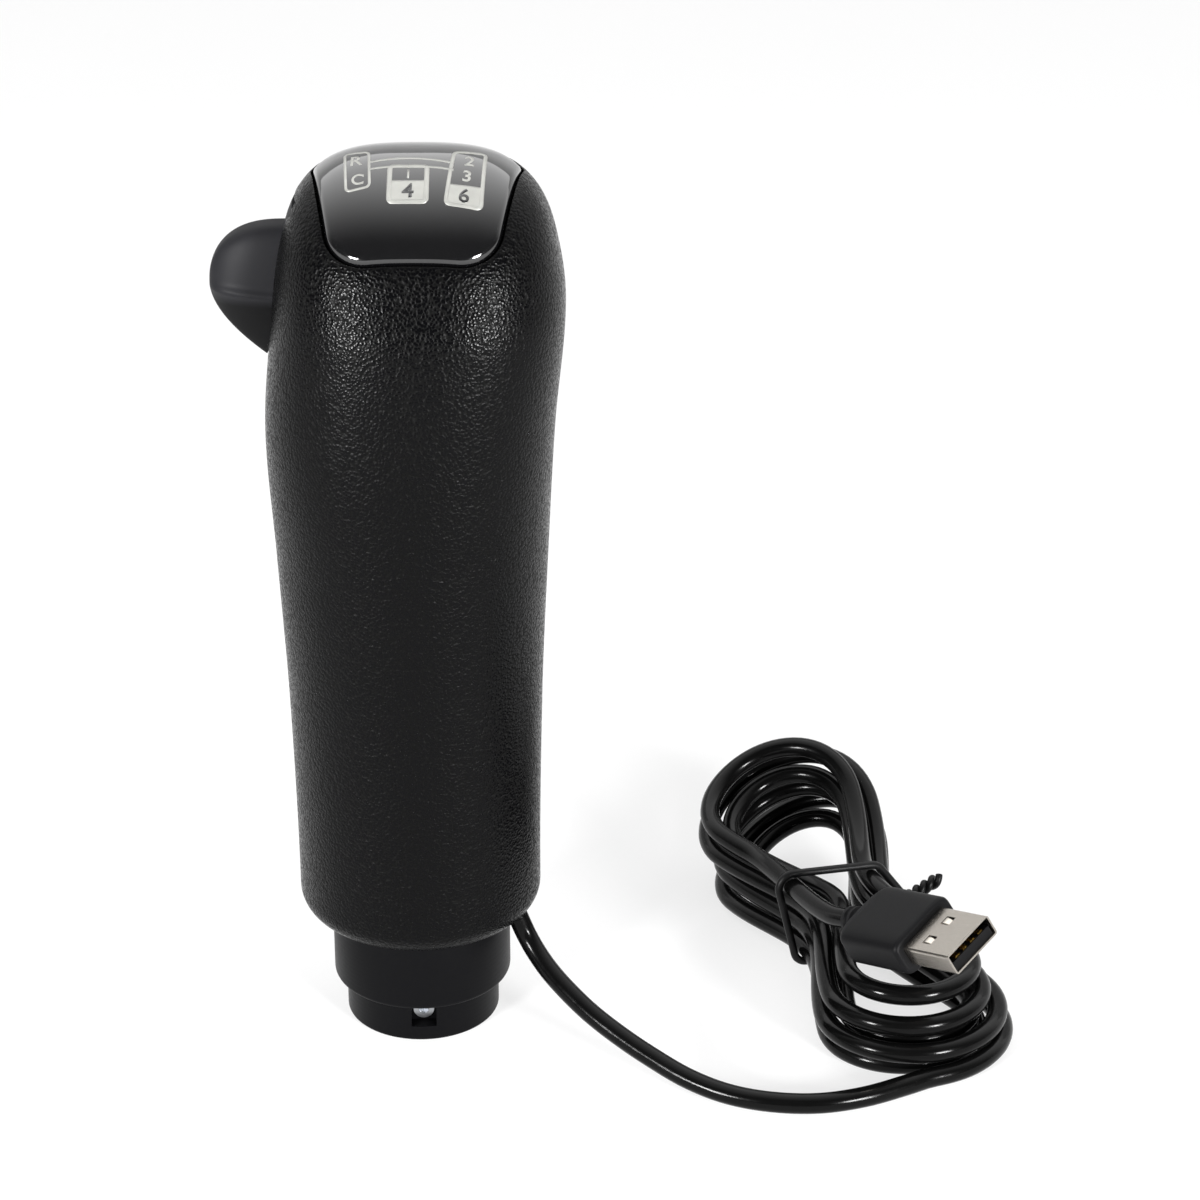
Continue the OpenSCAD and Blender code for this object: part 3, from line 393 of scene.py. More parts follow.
connector_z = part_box("inner_cable")[1][2] * 1000
clamp_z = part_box("cord_clamp")[0][2] * 500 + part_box("cord_clamp")[1][2] * 500
rise = lead_inner - lead_exit
inner_route = [lead_exit, lead_exit + 0.3 * rise, lead_exit + 0.6 * rise, lead_exit + 0.88 * rise,
               lead_inner + [0, 0, 3.5], lead_inner + [0, 0, 11], lead_inner + [0, 0, 22],
               [12.2, -4.6, clamp_z - 19], [9.4, -4.2, clamp_z - 14], [5.8, -3.9, clamp_z - 9.5],
               [2.8, -3.7, clamp_z - 5.5], [1.5, -3.6, clamp_z - 2], [1.5, -3.6, clamp_z + 3],
               [1.5, -3.6, connector_z]]
lead_radius = 2.0
inner_lead = closed("inner_lead", tube(through(inner_route, 8), lead_radius, 24, [0, 1, 0]))

# Flexible PVC sheath: black and satin-glossy, drawn through a die, so it has only a faint orange
# peel of about 1.5 mm and hair-fine scuffs.
pvc_sheath = speckled("extruded_black_pvc", {"Scale": 160.0, "Detail": 6.0, "Roughness": 0.65},
                      ("#050505", "#0A0A0A"), (0.12, 0.22), {"IOR": 1.52, "Specular IOR Level": 0.12},
                      relief=(0.25, 0.00008), dents={"Scale": 650.0, "Detail": 2.0}, span=(0.3, 0.7))
inner_lead.data.materials.append(pvc_sheath)
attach(inner_lead, "knob")
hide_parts("inner_cable")


# Grip: one thick moulding of soft black vinyl with a leather grain, slid over the core. It swells
# towards a domed head, whose crown has the cap's seat, and whose left side has the paddle's slot.
grip_foot = 23.5
grip_levels = np.array([5, 46.5, 76.5, 102.5, 124.5, 135.5])
grip_reach = np.array([[23.5] * 4, [24.2] * 4, [25.55] * 4, [26.6, 27, 26.3, 26.6], [24.6, 29, 25, 27],
                       [23.2, 27.9, 22, 24.5]])
dome_start, dome_height = grip_levels[-1], 19
crown_top = dome_start + dome_height - 0.01
dome_lean = np.array([0.2, 0.2, 0.3, 0.25])
level_slope = (grip_reach[2:] - grip_reach[:-2]) / (grip_levels[2:] - grip_levels[:-2])[:, None]
grip_slope = np.vstack([np.zeros(4), level_slope, -dome_lean])


def grip_section(h):
    """Middle, half widths and roundness of the grip at heights over its lower edge. Up to the dome,
    the reach to left, right, rear and front is a cubic from level to level. In the dome the leaning
    sides are closed over by (1 - q^3)^(1/3) across and (1 - q^2)^(1/2) along, with q the way up the
    dome. Sections turn from round, power 2, to slightly square, power 2.5."""
    h = np.asarray(h, float)
    i = np.clip(np.searchsorted(grip_levels, h) - 1, 0, len(grip_levels) - 2)
    span = (grip_levels[i + 1] - grip_levels[i])[..., None]
    t = (np.maximum(h, grip_levels[0])[..., None] - grip_levels[i][..., None]) / span
    side = ((2 * t ** 3 - 3 * t ** 2 + 1) * grip_reach[i] + (t ** 3 - 2 * t ** 2 + t) * span * grip_slope[i]
            + (3 * t ** 2 - 2 * t ** 3) * grip_reach[i + 1] + (t ** 3 - t ** 2) * span * grip_slope[i + 1])
    lean = grip_reach[-1] - dome_lean * (h[..., None] - dome_start)
    reach = np.where(h[..., None] > dome_start, lean, side)
    q = np.clip((h - dome_start) / dome_height, 0, 1)
    half = np.stack([(reach[..., 0] + reach[..., 1]) / 2 * (1 - q ** 3) ** (1 / 3),
                     (reach[..., 2] + reach[..., 3]) / 2 * (1 - q ** 2) ** 0.5], -1)
    middle = np.stack([(reach[..., 1] - reach[..., 0]) / 2, (reach[..., 3] - reach[..., 2]) / 2], -1)
    return middle, half, 2 + 0.5 * np.clip((h - 76.5) / 59, 0, 1)


def grip_rings(h, turns, inset=0.0):
    """Rings of the grip: at each height the section's superellipse, moved in by an inset."""
    middle, half, power = grip_section(h)
    half = half - np.broadcast_to(inset, np.shape(h))[:, None]
    c, s = np.cos(turns), np.sin(turns)
    x = middle[:, :1] + half[:, :1] * np.sign(c) * np.abs(c) ** (2 / power[:, None])
    y = middle[:, 1:] + half[:, 1:] * np.sign(s) * np.abs(s) ** (2 / power[:, None])
    return np.stack([x, y, np.broadcast_to(grip_foot + np.asarray(h, float)[:, None], x.shape)], -1)


def on_head(start, way):
    """Where rays from inside the head leave its surface: each ray's span is halved forty times
    towards the point where its level's superellipse is just reached."""
    start, way = np.broadcast_arrays(start, way)
    near, far = np.zeros(start.shape[:-1]), np.full(start.shape[:-1], 70.0)
    for _ in range(40):
        mid = (near + far) / 2
        p = start + way * mid[..., None]
        h = p[..., 2] - grip_foot
        middle, half, power = grip_section(np.clip(h, 90, crown_top))
        off = np.abs((p[..., :2] - middle) / np.maximum(half, 1e-6)) ** power[..., None]
        inside = (off.sum(-1) < 1) & (h < crown_top)
        near, far = np.where(inside, mid, near), np.where(inside, far, mid)
    return start + way * near[..., None]


cap_lean = math.radians(35)
cap_middle = np.array([2.2, 0, 165])
cap_side = np.array([1.0, 0, 0])
cap_up = np.array([0, math.cos(cap_lean), math.sin(cap_lean)])
cap_out = np.array([0, -math.sin(cap_lean), math.cos(cap_lean)])


def cap_outline(turns, grow):
    """Distance of the cap's edge from its middle at each turn: a trapezoid 29 wide below and 41 above,
    33.2 high, grown by a margin, with corners of radius 8 plus that margin."""
    radius = 8 + grow
    corner = np.array([[14.5, -16.7], [20.5, 16.5], [-20.5, 16.5], [-14.5, -16.7]])
    corner = corner + np.sign(corner) * grow
    u, v = unit(np.roll(corner, 1, 0) - corner), unit(np.roll(corner, -1, 0) - corner)
    half = np.arccos((u * v).sum(1)) / 2
    mid = corner + unit(u + v) * (radius / np.sin(half))[:, None]
    first = corner + u * (radius / np.tan(half))[:, None] - mid
    a = np.arctan2(first[:, 1], first[:, 0])[:, None] + (math.pi - 2 * half)[:, None] * np.linspace(0, 1, 60)
    arcs = mid[:, None] + radius * np.stack([np.cos(a), np.sin(a)], -1)
    line = np.vstack([arcs.reshape(-1, 2), arcs[0, :1]])
    fine = np.linspace(0, len(line) - 1, 12000)
    line = np.stack([np.interp(fine, np.arange(len(line)), line[:, k]) for k in (0, 1)], -1)
    bearing = np.arctan2(line[:, 1], line[:, 0])
    order = np.argsort(bearing)
    return np.interp(turns, bearing[order], np.linalg.norm(line, axis=1)[order], period=2 * math.pi)


def on_crown(x, v, sink=0.0):
    """Points of the crown over a place (x, v) in the cap's own plane, met along the cap's axis and
    moved down that axis by sink."""
    base = cap_middle + np.asarray(x)[..., None] * cap_side + np.asarray(v)[..., None] * cap_up
    return on_head(base - 30 * cap_out, cap_out) - np.asarray(sink)[..., None] * cap_out


def crown_limit(turns):
    """How far from the cap's middle the crown can be followed at each turn: out to where it falls
    away from the cap's own plane by 1.5 for each step outwards."""
    r = np.linspace(8, 26, 145)
    met = on_crown(r[:, None] * np.cos(turns), r[:, None] * np.sin(turns))
    fall = -np.gradient(met @ cap_out, r, axis=0)
    kept = np.logical_and.accumulate(fall < 1.5, axis=0)
    return r[kept.sum(0) - 1]


limit_turns = np.linspace(-math.pi, math.pi, 180, endpoint=False)
limit = crown_limit(limit_turns)
limit = np.mean([np.roll(limit, k) for k in range(-4, 5)], 0)


def crown_ring(turns, grow, sink, share=1.0):
    """One ring of the crown: the cap's outline within the crown's limit, grown by a margin, scaled by
    share and sunk."""
    reach = np.interp(turns, limit_turns, limit, period=2 * math.pi) + grow
    r = np.minimum(cap_outline(turns, grow), reach) * share
    return on_crown(r * np.cos(turns), r * np.sin(turns), np.full(len(turns), sink))


columns = 288
turns = np.linspace(-math.pi, math.pi, columns, endpoint=False)
core_top = 156.0
bore_profile = np.array([[0.5, 156.3], [9, 156.3], [18.3, 156.3], [18.6, core_top], [18.6, 27.3],
                         [18.4, 27.0], [17.8, 27.0], [17.7, 26.8], [17.7, 23.9]])
bore = np.roll(turned(bore_profile, columns), columns // 2, 1)
edge_turn = np.radians(np.linspace(0, 90, 14))
lip = grip_rings(5 * (1 - np.cos(edge_turn)), turns, 5.1 * (1 - np.sin(edge_turn)))
wall = grip_rings(np.linspace(5, 124.5, 90)[1:], turns)
seat_gap, seat_round, seat_depth = 0.3, 0.65, 2.7
head_middle = np.array([2.2, 1.0, 148.0])
way_up = unit(wall[-1] - head_middle)
way_in = unit(crown_ring(turns, seat_gap + seat_round, 0.0) - head_middle)
share = np.linspace(0, 1, 44)[1:-1, None, None]
dome = on_head(head_middle, unit((1 - share) * way_up + share * way_in))
seat = [crown_ring(turns, seat_gap + seat_round * (1 - math.sin(b)), seat_round * (1 - math.cos(b)))
        for b in np.radians(np.linspace(0, 90, 7))]
seat += [crown_ring(turns, seat_gap, s) for s in (1.6, seat_depth)]
seat += [crown_ring(turns, 0.0, seat_depth, k) for k in (0.9, 0.6, 0.25, 0.02)]
grip = closed("grip", np.concatenate([bore, lip, wall, dome, np.stack(seat)]))
pin = np.array([-10.5, 152.0])
drum_radius, root_radius, slot_gap = 17.0, 19.2, 0.4
slot_sides = (-3.4, 7.4)


def round_pin(radius, first, last, count):
    """Points in x and z on an arc round the paddle's pin, between two turns in degrees, which are
    counted upwards from -X."""
    a = np.radians(np.linspace(first, last, count))
    return pin + radius * np.stack([-np.cos(a), np.sin(a)], -1)


def plate(outline, low, high):
    """Rings of a flat plate whose outline, in x and z, is carried along Y between two levels."""
    turn_sum = np.sum(outline[:, 0] * np.roll(outline[:, 1], -1) - np.roll(outline[:, 0], -1) * outline[:, 1])
    line = outline[::-1] if turn_sum > 0 else outline
    return np.stack([np.stack([line[:, 0], np.full(len(line), y), line[:, 1]], -1) for y in (low, high)])


slot_line = round_pin(drum_radius + slot_gap, -81.7, 81.7, 60)
slot_line = np.vstack([slot_line, [[-8.0, slot_line[-1, 1]], [-8.0, slot_line[0, 1]]]])
carve(grip, closed("paddle_slot", plate(slot_line, *slot_sides)))
carve(grip, closed("root_slot", plate(round_pin(root_radius + slot_gap, -54, 73, 70), *slot_sides)))
carve(grip, closed("lead_way", lead_bore))
post_turns = np.linspace(0, 2 * math.pi, 48, endpoint=False)


def post_rings(x, y, radius, under):
    """Rings of an upright post from the core's top to a little under the crown, whose shape its top
    follows."""
    flat = np.array([x, y]) + radius * np.stack([np.cos(post_turns), np.sin(post_turns)], -1)
    ring = np.column_stack([flat, np.full(len(flat), core_top)])
    return np.stack([ring, on_head(ring - [0, 0, 6], np.array([0, 0, 1.0])) - [0, 0, under]])


post_places = ((-3, -11), (8, -10.5), (3, 8.6))
post_radius, post_gap = 2.3, 0.2
for x, y in post_places:
    carve(grip, closed("post_way", post_rings(x, y, post_radius + post_gap, 1.6)))

# Soft vinyl with a pressed leather grain: round pebbles about 0.6 mm wide, which meet in narrow creases.
# Their tops are rubbed a little smoother than the creases, which gives the sparkle.
grained_vinyl, shader = new_material("leather_grained_soft_vinyl")
place = add_node(grained_vinyl, "TexCoord").outputs["Object"]
wander = add_node(grained_vinyl, "TexNoise", {"Vector": place, "Scale": 600.0, "Detail": 2.0})
shift = add_node(grained_vinyl, "VectorMath", {0: wander.outputs["Color"], 1: (0.0006, 0.0006, 0.0006)},
                 operation="MULTIPLY")
moved = add_node(grained_vinyl, "VectorMath", {0: place, 1: shift}, operation="ADD")
pebble = add_node(grained_vinyl, "TexVoronoi", {"Vector": moved, "Scale": 1650.0}, feature="F1")
off_top = pebble.outputs["Distance"]
crease = add_node(grained_vinyl, "MapRange", {"Value": off_top, "From Min": 0.3, "From Max": 0.65},
                  interpolation_type="SMOOTHSTEP")
# Painted shade: the creases are coloured darker than the pebble tops.
tone = add_node(grained_vinyl, "MixRGB",
                {"Fac": crease, "Color1": linear("#050506"), "Color2": linear("#030303")})
dull = add_node(grained_vinyl, "MapRange", {"Value": crease, "To Min": 0.11, "To Max": 0.4})
fine = add_node(grained_vinyl, "TexNoise", {"Vector": place, "Scale": 2400.0, "Detail": 1.0})
fine_part = add_node(grained_vinyl, "Math", {0: fine.outputs["Fac"], 1: 0.25}, operation="MULTIPLY")
fall = add_node(grained_vinyl, "Math", {0: off_top, 1: off_top}, operation="MULTIPLY")
height = add_node(grained_vinyl, "Math", {0: fine_part, 1: fall}, operation="SUBTRACT")
pressed = add_node(grained_vinyl, "Bump", {"Height": height, "Strength": 1.0, "Distance": 0.00012})
feed(shader, {"IOR": 1.5, "Specular IOR Level": 0.1, "Base Color": tone, "Roughness": dull,
              "Normal": pressed})
grip.data.materials.append(grained_vinyl)
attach(grip, "knob")
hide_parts("grip_sleeve")


# Cap: a gloss black plate let into the crown and screwed to the core from below through three
# posts. It is injection-moulded and polished, and its edge is rounded over.
cap_turns = np.linspace(-math.pi, math.pi, 240, endpoint=False)
cap_thick, cap_round, cap_proud = 2.4, 1.1, 0.25
cap_rings = [crown_ring(cap_turns, 0.0, cap_thick, k) for k in (0.02, 0.3, 0.6, 0.9)]
cap_rings += [crown_ring(cap_turns, 0.0, s) for s in (cap_thick, 1.5)]
cap_rings += [crown_ring(cap_turns, -cap_round * (1 - math.cos(b)),
                         cap_round * (1 - math.sin(b)) - cap_proud * math.sin(b))
              for b in np.radians(np.linspace(0, 90, 10))]
cap_rings += [crown_ring(cap_turns, -cap_round, -cap_proud, k) for k in np.linspace(1, 0.015, 44)[1:]]
cap = closed("gear_plate", np.stack(cap_rings))
for x, y in post_places:
    post = closed("post", post_rings(x, y, post_radius, 1.2))
    carve(post, closed("screw_hole", rod((x, y, 155), (x, y, 162.4), 1.5)))
    carve(cap, post, "UNION", 30)

# Gloss ABS, polished: near black and mirror-smooth, with the faint waviness of a moulding, about 6 mm
# long, and a little dust-fine dulling.
gloss_abs = speckled("polished_black_abs", {"Scale": 1800.0, "Detail": 4.0, "Roughness": 0.7},
                     ("#050506", "#0C0C0D"), (0.06, 0.14),
                     {"IOR": 1.53, "Coat Weight": 1.0, "Coat Roughness": 0.04},
                     relief=(0.06, 0.0004), dents={"Scale": 160.0, "Detail": 1.0}, span=(0.3, 0.75))
cap.data.materials.append(gloss_abs)
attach(cap, "knob")
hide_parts("gear_cap")


# Gear pattern: silver ink screen-printed on the cap, three gates joined by a double neutral line, with
# dark figures over the light cells. A thin coat that follows the cap's face.
def on_cap(places, lift):
    """Points of the cap's face over places (x, v), x from the knob's axis and v up the cap, lifted
    off it."""
    places = np.asarray(places, float)
    sink = np.full(places.shape[:-1], -cap_proud - lift)
    return on_crown(places[..., 0] - cap_middle[0], places[..., 1], sink)


def patch(corners, across, along):
    """A grid over the four corners of a cell, left to right below and then above: each point is the
    blend of the corners by its shares of the way across and along."""
    a, b, c, d = np.array(corners, float)
    u, v = np.linspace(0, 1, across)[None, :, None], np.linspace(0, 1, along)[:, None, None]
    return (1 - v) * ((1 - u) * a + u * b) + v * ((1 - u) * c + u * d)


def evenly(line, count, endpoint=True):
    """Points spread evenly along a line, and how far along it each of its own points lies."""
    walked = np.concatenate([[0], np.cumsum(np.linalg.norm(np.diff(line, axis=0), axis=1))])
    even = np.linspace(0, walked[-1], count, endpoint=endpoint)
    return np.stack([np.interp(even, walked, column) for column in line.T], -1), walked


def stroke(line, width, count=60):
    """A printed line of even width: the points of a line moved to both sides, square to it."""
    line = evenly(np.array(line, float), count)[0]
    way = unit(np.gradient(line, axis=0))
    side = np.stack([way[:, 1], -way[:, 0]], -1)
    share = np.array([-0.5, 0, 0.5])[None, :, None] * width
    return line[:, None] + side[:, None] * share


def figure(letter, at, size, lean=0.0):
    """Points and faces of one printed figure of that height, its middle at a place and leaning by
    some degrees, cut into small pieces so that it can follow the cap."""
    text = bpy.data.curves.new("figure", "FONT")
    text.body, text.align_x, text.align_y = letter, "CENTER", "CENTER"
    text.size, text.offset = 1.0, 0.018
    holder = bpy.data.objects.new("figure", text)
    scene.collection.objects.link(holder)
    flat = bpy.data.meshes.new_from_object(holder.evaluated_get(bpy.context.evaluated_depsgraph_get()))
    bpy.data.objects.remove(holder)
    work = bmesh.new()
    work.from_mesh(flat)
    bmesh.ops.triangulate(work, faces=work.faces[:])
    bmesh.ops.subdivide_edges(work, edges=work.edges[:], cuts=2)
    work.to_mesh(flat)
    work.free()
    spots = np.empty(len(flat.vertices) * 3)
    flat.vertices.foreach_get("co", spots)
    spots = spots.reshape(-1, 3)[:, :2]
    spots = (spots - (spots.min(0) + spots.max(0)) / 2) * size / np.ptp(spots[:, 1])
    c, n = math.cos(math.radians(lean)), math.sin(math.radians(lean))
    return spots @ np.array([[c, n], [-n, c]]) + at, [list(f.vertices) for f in flat.polygons]


def printed(name, grids, figures, lift, ink):
    """One printed coat: grids and figures laid on the cap in one mesh, 0.05 mm thick, so that its
    underside lies in the cap."""
    points, faces, first = [], [], 0
    for grid in grids:
        points.append(on_cap(grid, lift).reshape(-1, 3))
        faces += (grid_faces(grid.shape[0], grid.shape[1], False) + first).tolist()
        first += grid.shape[0] * grid.shape[1]
    for spots, cells in figures:
        points.append(on_cap(spots, lift))
        faces += [[k + first for k in cell] for cell in cells]
        first += len(spots)
    layer = solid(name, np.vstack(points), faces)
    work = bmesh.new()
    work.from_mesh(layer.data)
    bmesh.ops.recalc_face_normals(work, faces=work.faces[:])
    work.to_mesh(layer.data)
    work.free()
    thick = layer.modifiers.new("ink", "SOLIDIFY")
    thick.thickness, thick.offset = 0.00005, -1
    layer.data.materials.append(ink)
    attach(layer, "knob")


# Silver screen ink: fine pale flakes, a little dull, worn thin in patches of about 3 mm.
silver_ink, shader = new_material("silver_screen_ink")
place = add_node(silver_ink, "TexCoord").outputs["Object"]
flake = add_node(silver_ink, "TexNoise", {"Vector": place, "Scale": 6000.0, "Detail": 2.0}).outputs["Fac"]
thin = add_node(silver_ink, "TexNoise", {"Vector": place, "Scale": 330.0, "Detail": 3.0}).outputs["Fac"]
tone = add_node(silver_ink, "MixRGB", {"Fac": thin, "Color1": linear("#8C8C88"), "Color2": linear("#ABABA6")})
dull = add_node(silver_ink, "MapRange", {"Value": flake, "To Min": 0.3, "To Max": 0.55})
feed(shader, {"Metallic": 0.35, "Base Color": tone, "Roughness": dull})

left_gate = [(-10.5, 7.6), (-6.1, 7.2), (-5.6, -2.1), (-9.8, -2.8)]
centre_gate = [(-2.1, 2.6), (4.5, 2.6), (4.5, -5.6), (-2.1, -5.6)]
right_gate = [(9.2, 7.0), (14.8, 7.4), (14.2, -6.5), (7.9, -5.9)]
fourth_cell = [(-2.1, -5.6), (4.5, -5.6), (-2.1, -0.9), (4.5, -0.9)]
sixth_cell = [(8.0, -5.9), (14.2, -6.4), (8.55, -1.6), (14.45, -1.9)]
bar = np.linspace(-5.9, 9.2, 60)
upper_bar = np.stack([bar, 4.8 - 0.9 * ((bar - 1) / 7) ** 2], -1)
lower_bar = np.stack([bar, 2.6 - 0.55 * ((bar - 1) / 7) ** 2], -1)


def gate_lines(corners, radius, width):
    """A gate's outline: its four sides with rounded corners, closed, as one printed stroke."""
    ring = np.vstack([corners, corners[:2]])
    line = eased(ring, [0] + [radius] * 4 + [0], 8)
    middle = (np.array(corners[0]) + np.array(corners[1])) / 2
    line = np.vstack([middle, line[1:-1], middle])
    return stroke(line, width, 140)


right_lean = -4
light = [gate_lines(left_gate, 1.0, 0.5), gate_lines(centre_gate, 0.8, 0.9), gate_lines(right_gate, 1.0, 0.7),
         stroke(upper_bar, 0.52), stroke(lower_bar[lower_bar[:, 0] < -1.9], 0.5),
         stroke(lower_bar[lower_bar[:, 0] > 4.3], 0.5), patch(fourth_cell, 14, 10), patch(sixth_cell, 14, 10)]
pale_figures = [figure("R", (-8.2, 4.8), 2.7), figure("C", (-7.8, -0.2), 2.5), figure("1", (1.2, 0.62), 2.0),
                figure("2", (12.0, 4.5), 2.7, right_lean), figure("3", (11.6, 0.5), 2.7, right_lean)]
dark_figures = [figure("4", (1.2, -3.2), 3.1), figure("6", (11.2, -4.0), 3.0, right_lean)]
printed("gear_pattern", light, pale_figures, 0.03, silver_ink)
printed("gear_figures", [], dark_figures, 0.07, gloss_abs)


# Range paddle: the satin thumb lever on the left of the head. Its drum turns in the grip's slot on
# a steel pin, and its forked arm moves the switch. Moulded in one piece of dark ABS.
def ear_section(u, turns):
    """Rings of the ear at shares u of the way from root to tip. A ring is a flat-faced, rounded wedge:
    5 (1 - u^4)^(1/2) to each side, up to 12.05 (1 - u^2.4)^(1/2.4) over the tip line and down to
    17.1 (1 - u)^0.56 under it. Its face towards the driver has a ridge, a bead 0.55 high that drops
    1.3 mm from tip to root. Above it the face is dished a little, and below it falls away."""
    c, s = np.cos(turns), np.sin(turns)
    u = np.asarray(u)[:, None]
    drop = 1.3 * (1 - u)
    up, down = 12.05 * (1 - u ** 2.4) ** (1 / 2.4) + drop, 17.1 * (1 - u) ** 0.56 - drop
    half = 5.0 * np.sqrt(1 - u ** 4)
    soft = np.sqrt(s ** 2 + 0.004) - math.sqrt(0.004)
    face = np.clip(-c, 0, 1) ** 0.5
    fall = soft * np.where(s > 0, 0.2 * u ** 2, 0.95) * (1 - c) / 2
    y = 2 + half * (np.sign(c) * np.abs(c) ** 0.5 + fall)
    dish = face * np.clip(s, 0, 1) * 4 * (1 - np.clip(s, 0, 1))
    rise = np.where(s > 0, s * up, s * down)
    bead = 0.55 * np.exp(-((rise - 0.3) / 0.9) ** 2) * face * np.sqrt(1 - u ** 4)
    y = y + 0.35 * dish * u ** 2 * (1 - u ** 4) - bead
    return np.stack([np.broadcast_to(-22 - 14 * u, y.shape), y, 151.9 - drop + rise], -1)


ear_turns = np.linspace(0, -2 * math.pi, 120, endpoint=False)
ear_turns = ear_turns + 0.7 * np.sin(ear_turns)
ear_share = np.sin(np.radians(np.linspace(0, 89.6, 56)))
ear_root = ear_section(np.zeros(1), ear_turns) + [8.0, 0, 0]
ear = closed("range_lever", np.concatenate([ear_root, ear_section(ear_share, ear_turns)]))


def head_rings(inset):
    """Rings of the grip's head alone, ending near its crown, moved in by an inset."""
    dome_levels = dome_start + dome_height * np.sin(np.radians(np.linspace(4, 86, 16)))
    return grip_rings(np.concatenate([np.linspace(90, dome_start, 30), dome_levels]), turns, inset)


def disc(radius):
    """Points in x and z on the full circle round the pin, three degrees apart."""
    return round_pin(radius, 180, -177, 120)


def oblong(low, high):
    """Corners in x and z of an upright oblong."""
    return np.array([low, (high[0], low[1]), high, (low[0], high[1])])


# The ear clears the head, except at its root, which stands in the slot.
room = closed("grip_room", head_rings(-slot_gap))
carve(room, closed("root_room", plate(disc(root_radius), -4, 8)))
carve(ear, room)
drum = closed("drum", plate(round_pin(drum_radius, -79.8, 79.8, 60), -1.5, 7))
# Under the ridge the drum falls away as the ear does.
under_turn = np.radians(np.linspace(180, 268, 10))
under = [[-8, 150.6], [-12, 150.6], [-12, 144], [-12, 137], [-12, 130], [-9, 125], [-4, 125], [0, 125],
         [4.2, 127]]
under = np.vstack([under, ear_section(np.zeros(1), under_turn)[0][::-1, 1:] + [0.08, 0.05]])
under = np.stack([np.column_stack([np.full(len(under), x), under]) for x in (-34, -12)])
carve(drum, closed("under_ridge", under))
# Over the ear the drum fills the slot's mouth, and it ends flush with the grip.
fill_line = np.vstack([round_pin(root_radius, 12, 58, 30), [[-14, 165.5], [-15.5, 157]]])
carve(drum, closed("mouth_filler", plate(fill_line, -2.98, 6.98)), "UNION")
carve(drum, closed("flush_head", head_rings(0.15)), "INTERSECT")
carve(ear, drum, "UNION")
carve(ear, closed("hub", plate(disc(4.2), -3, 7)), "UNION")
carve(ear, closed("web", plate(oblong((-14.5, 147.8), (-10.5, 156.2)), -2.999, 6.999)), "UNION")
arm = closed("arm", plate(oblong((-10.5, 149.5), (6, 154.5)), 2.2, 5.2))
carve(arm, closed("fork", plate(oblong((1, 150.65), (8, 153.35)), 1.2, 6.2)))
carve(ear, arm, "UNION")
carve(ear, closed("pin_hole", plate(disc(1.56), -5, 9)), "DIFFERENCE", 30)

# ABS from a finely blasted mould: dark grey, even and satin, with a grain of about 0.3 mm. Under the
# ridge the colour is painted near black, as painted shade for the face that turns down.
satin_abs, shader = new_material("satin_dark_grey_abs")
place = add_node(satin_abs, "TexCoord").outputs["Object"]
blast = add_node(satin_abs, "TexNoise", {"Vector": place, "Scale": 3200.0, "Detail": 3.0})
rub = add_node(satin_abs, "TexNoise", {"Vector": place, "Scale": 120.0, "Detail": 3.0}).outputs["Fac"]
face_tone_above_ridge = add_node(satin_abs, "MixRGB", {"Fac": rub, "Color1": linear("#1B1B1D"), "Color2": linear("#202023")})
level = add_node(satin_abs, "SeparateXYZ", {"Vector": place}).outputs["Z"]
# Painted shade: below the ridge's height the colour turns near black, above it the face keeps its own tone.
over = add_node(satin_abs, "MapRange", {"Value": level, "From Min": 0.1488, "From Max": 0.1506})
tone = add_node(satin_abs, "MixRGB", {"Fac": over, "Color1": linear("#09090A"), "Color2": face_tone_above_ridge})
dull = add_node(satin_abs, "MapRange",
                {"Value": rub, "From Min": 0.3, "From Max": 0.7, "To Min": 0.48, "To Max": 0.58})
fine = add_node(satin_abs, "Bump", {"Height": blast.outputs["Fac"], "Strength": 0.12, "Distance": 0.00004})
feed(shader, {"IOR": 1.53, "Specular IOR Level": 0.1, "Base Color": tone, "Roughness": dull, "Normal": fine})
ear.data.materials.append(satin_abs)
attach(ear, "paddle")
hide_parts("range_paddle")


# Data plug: a black moulded body with a short boot on the lead, a folded nickel-plated shell with
# two spring windows on each face, and a tongue with four gold contacts.
plug_turns = np.radians([-54, 18, 24])


def plug_place(points):
    """Points of the plug, whose own X runs from the lead to its open end, put on the hank: rolled
    24 degrees, pitched up 18, turned -54 and moved to the boot's place."""
    (cy, cp, cr), (sy, sp, sr) = np.cos(plug_turns), np.sin(plug_turns)
    turn_x = np.array([[1, 0, 0], [0, cr, -sr], [0, sr, cr]])
    turn_y = np.array([[cp, 0, -sp], [0, 1, 0], [sp, 0, cp]])
    turn_z = np.array([[cy, -sy, 0], [sy, cy, 0], [0, 0, 1]])
    return points @ (turn_z @ turn_y @ turn_x).T + np.array([84, -8.7, 23.8])


def plug_rings(sections, around):
    """Rings of the plug: at each x a superellipse of half width, half height and power."""
    s = np.array(sections, float)[:, :, None]
    a = np.linspace(0, 2 * math.pi, around, endpoint=False)
    c, n = np.cos(a), np.sin(a)
    y = s[:, 1] * np.sign(c) * np.abs(c) ** (2 / s[:, 3])
    z = s[:, 2] * np.sign(n) * np.abs(n) ** (2 / s[:, 3])
    return np.stack([np.broadcast_to(s[:, 0], y.shape), y, z], -1)


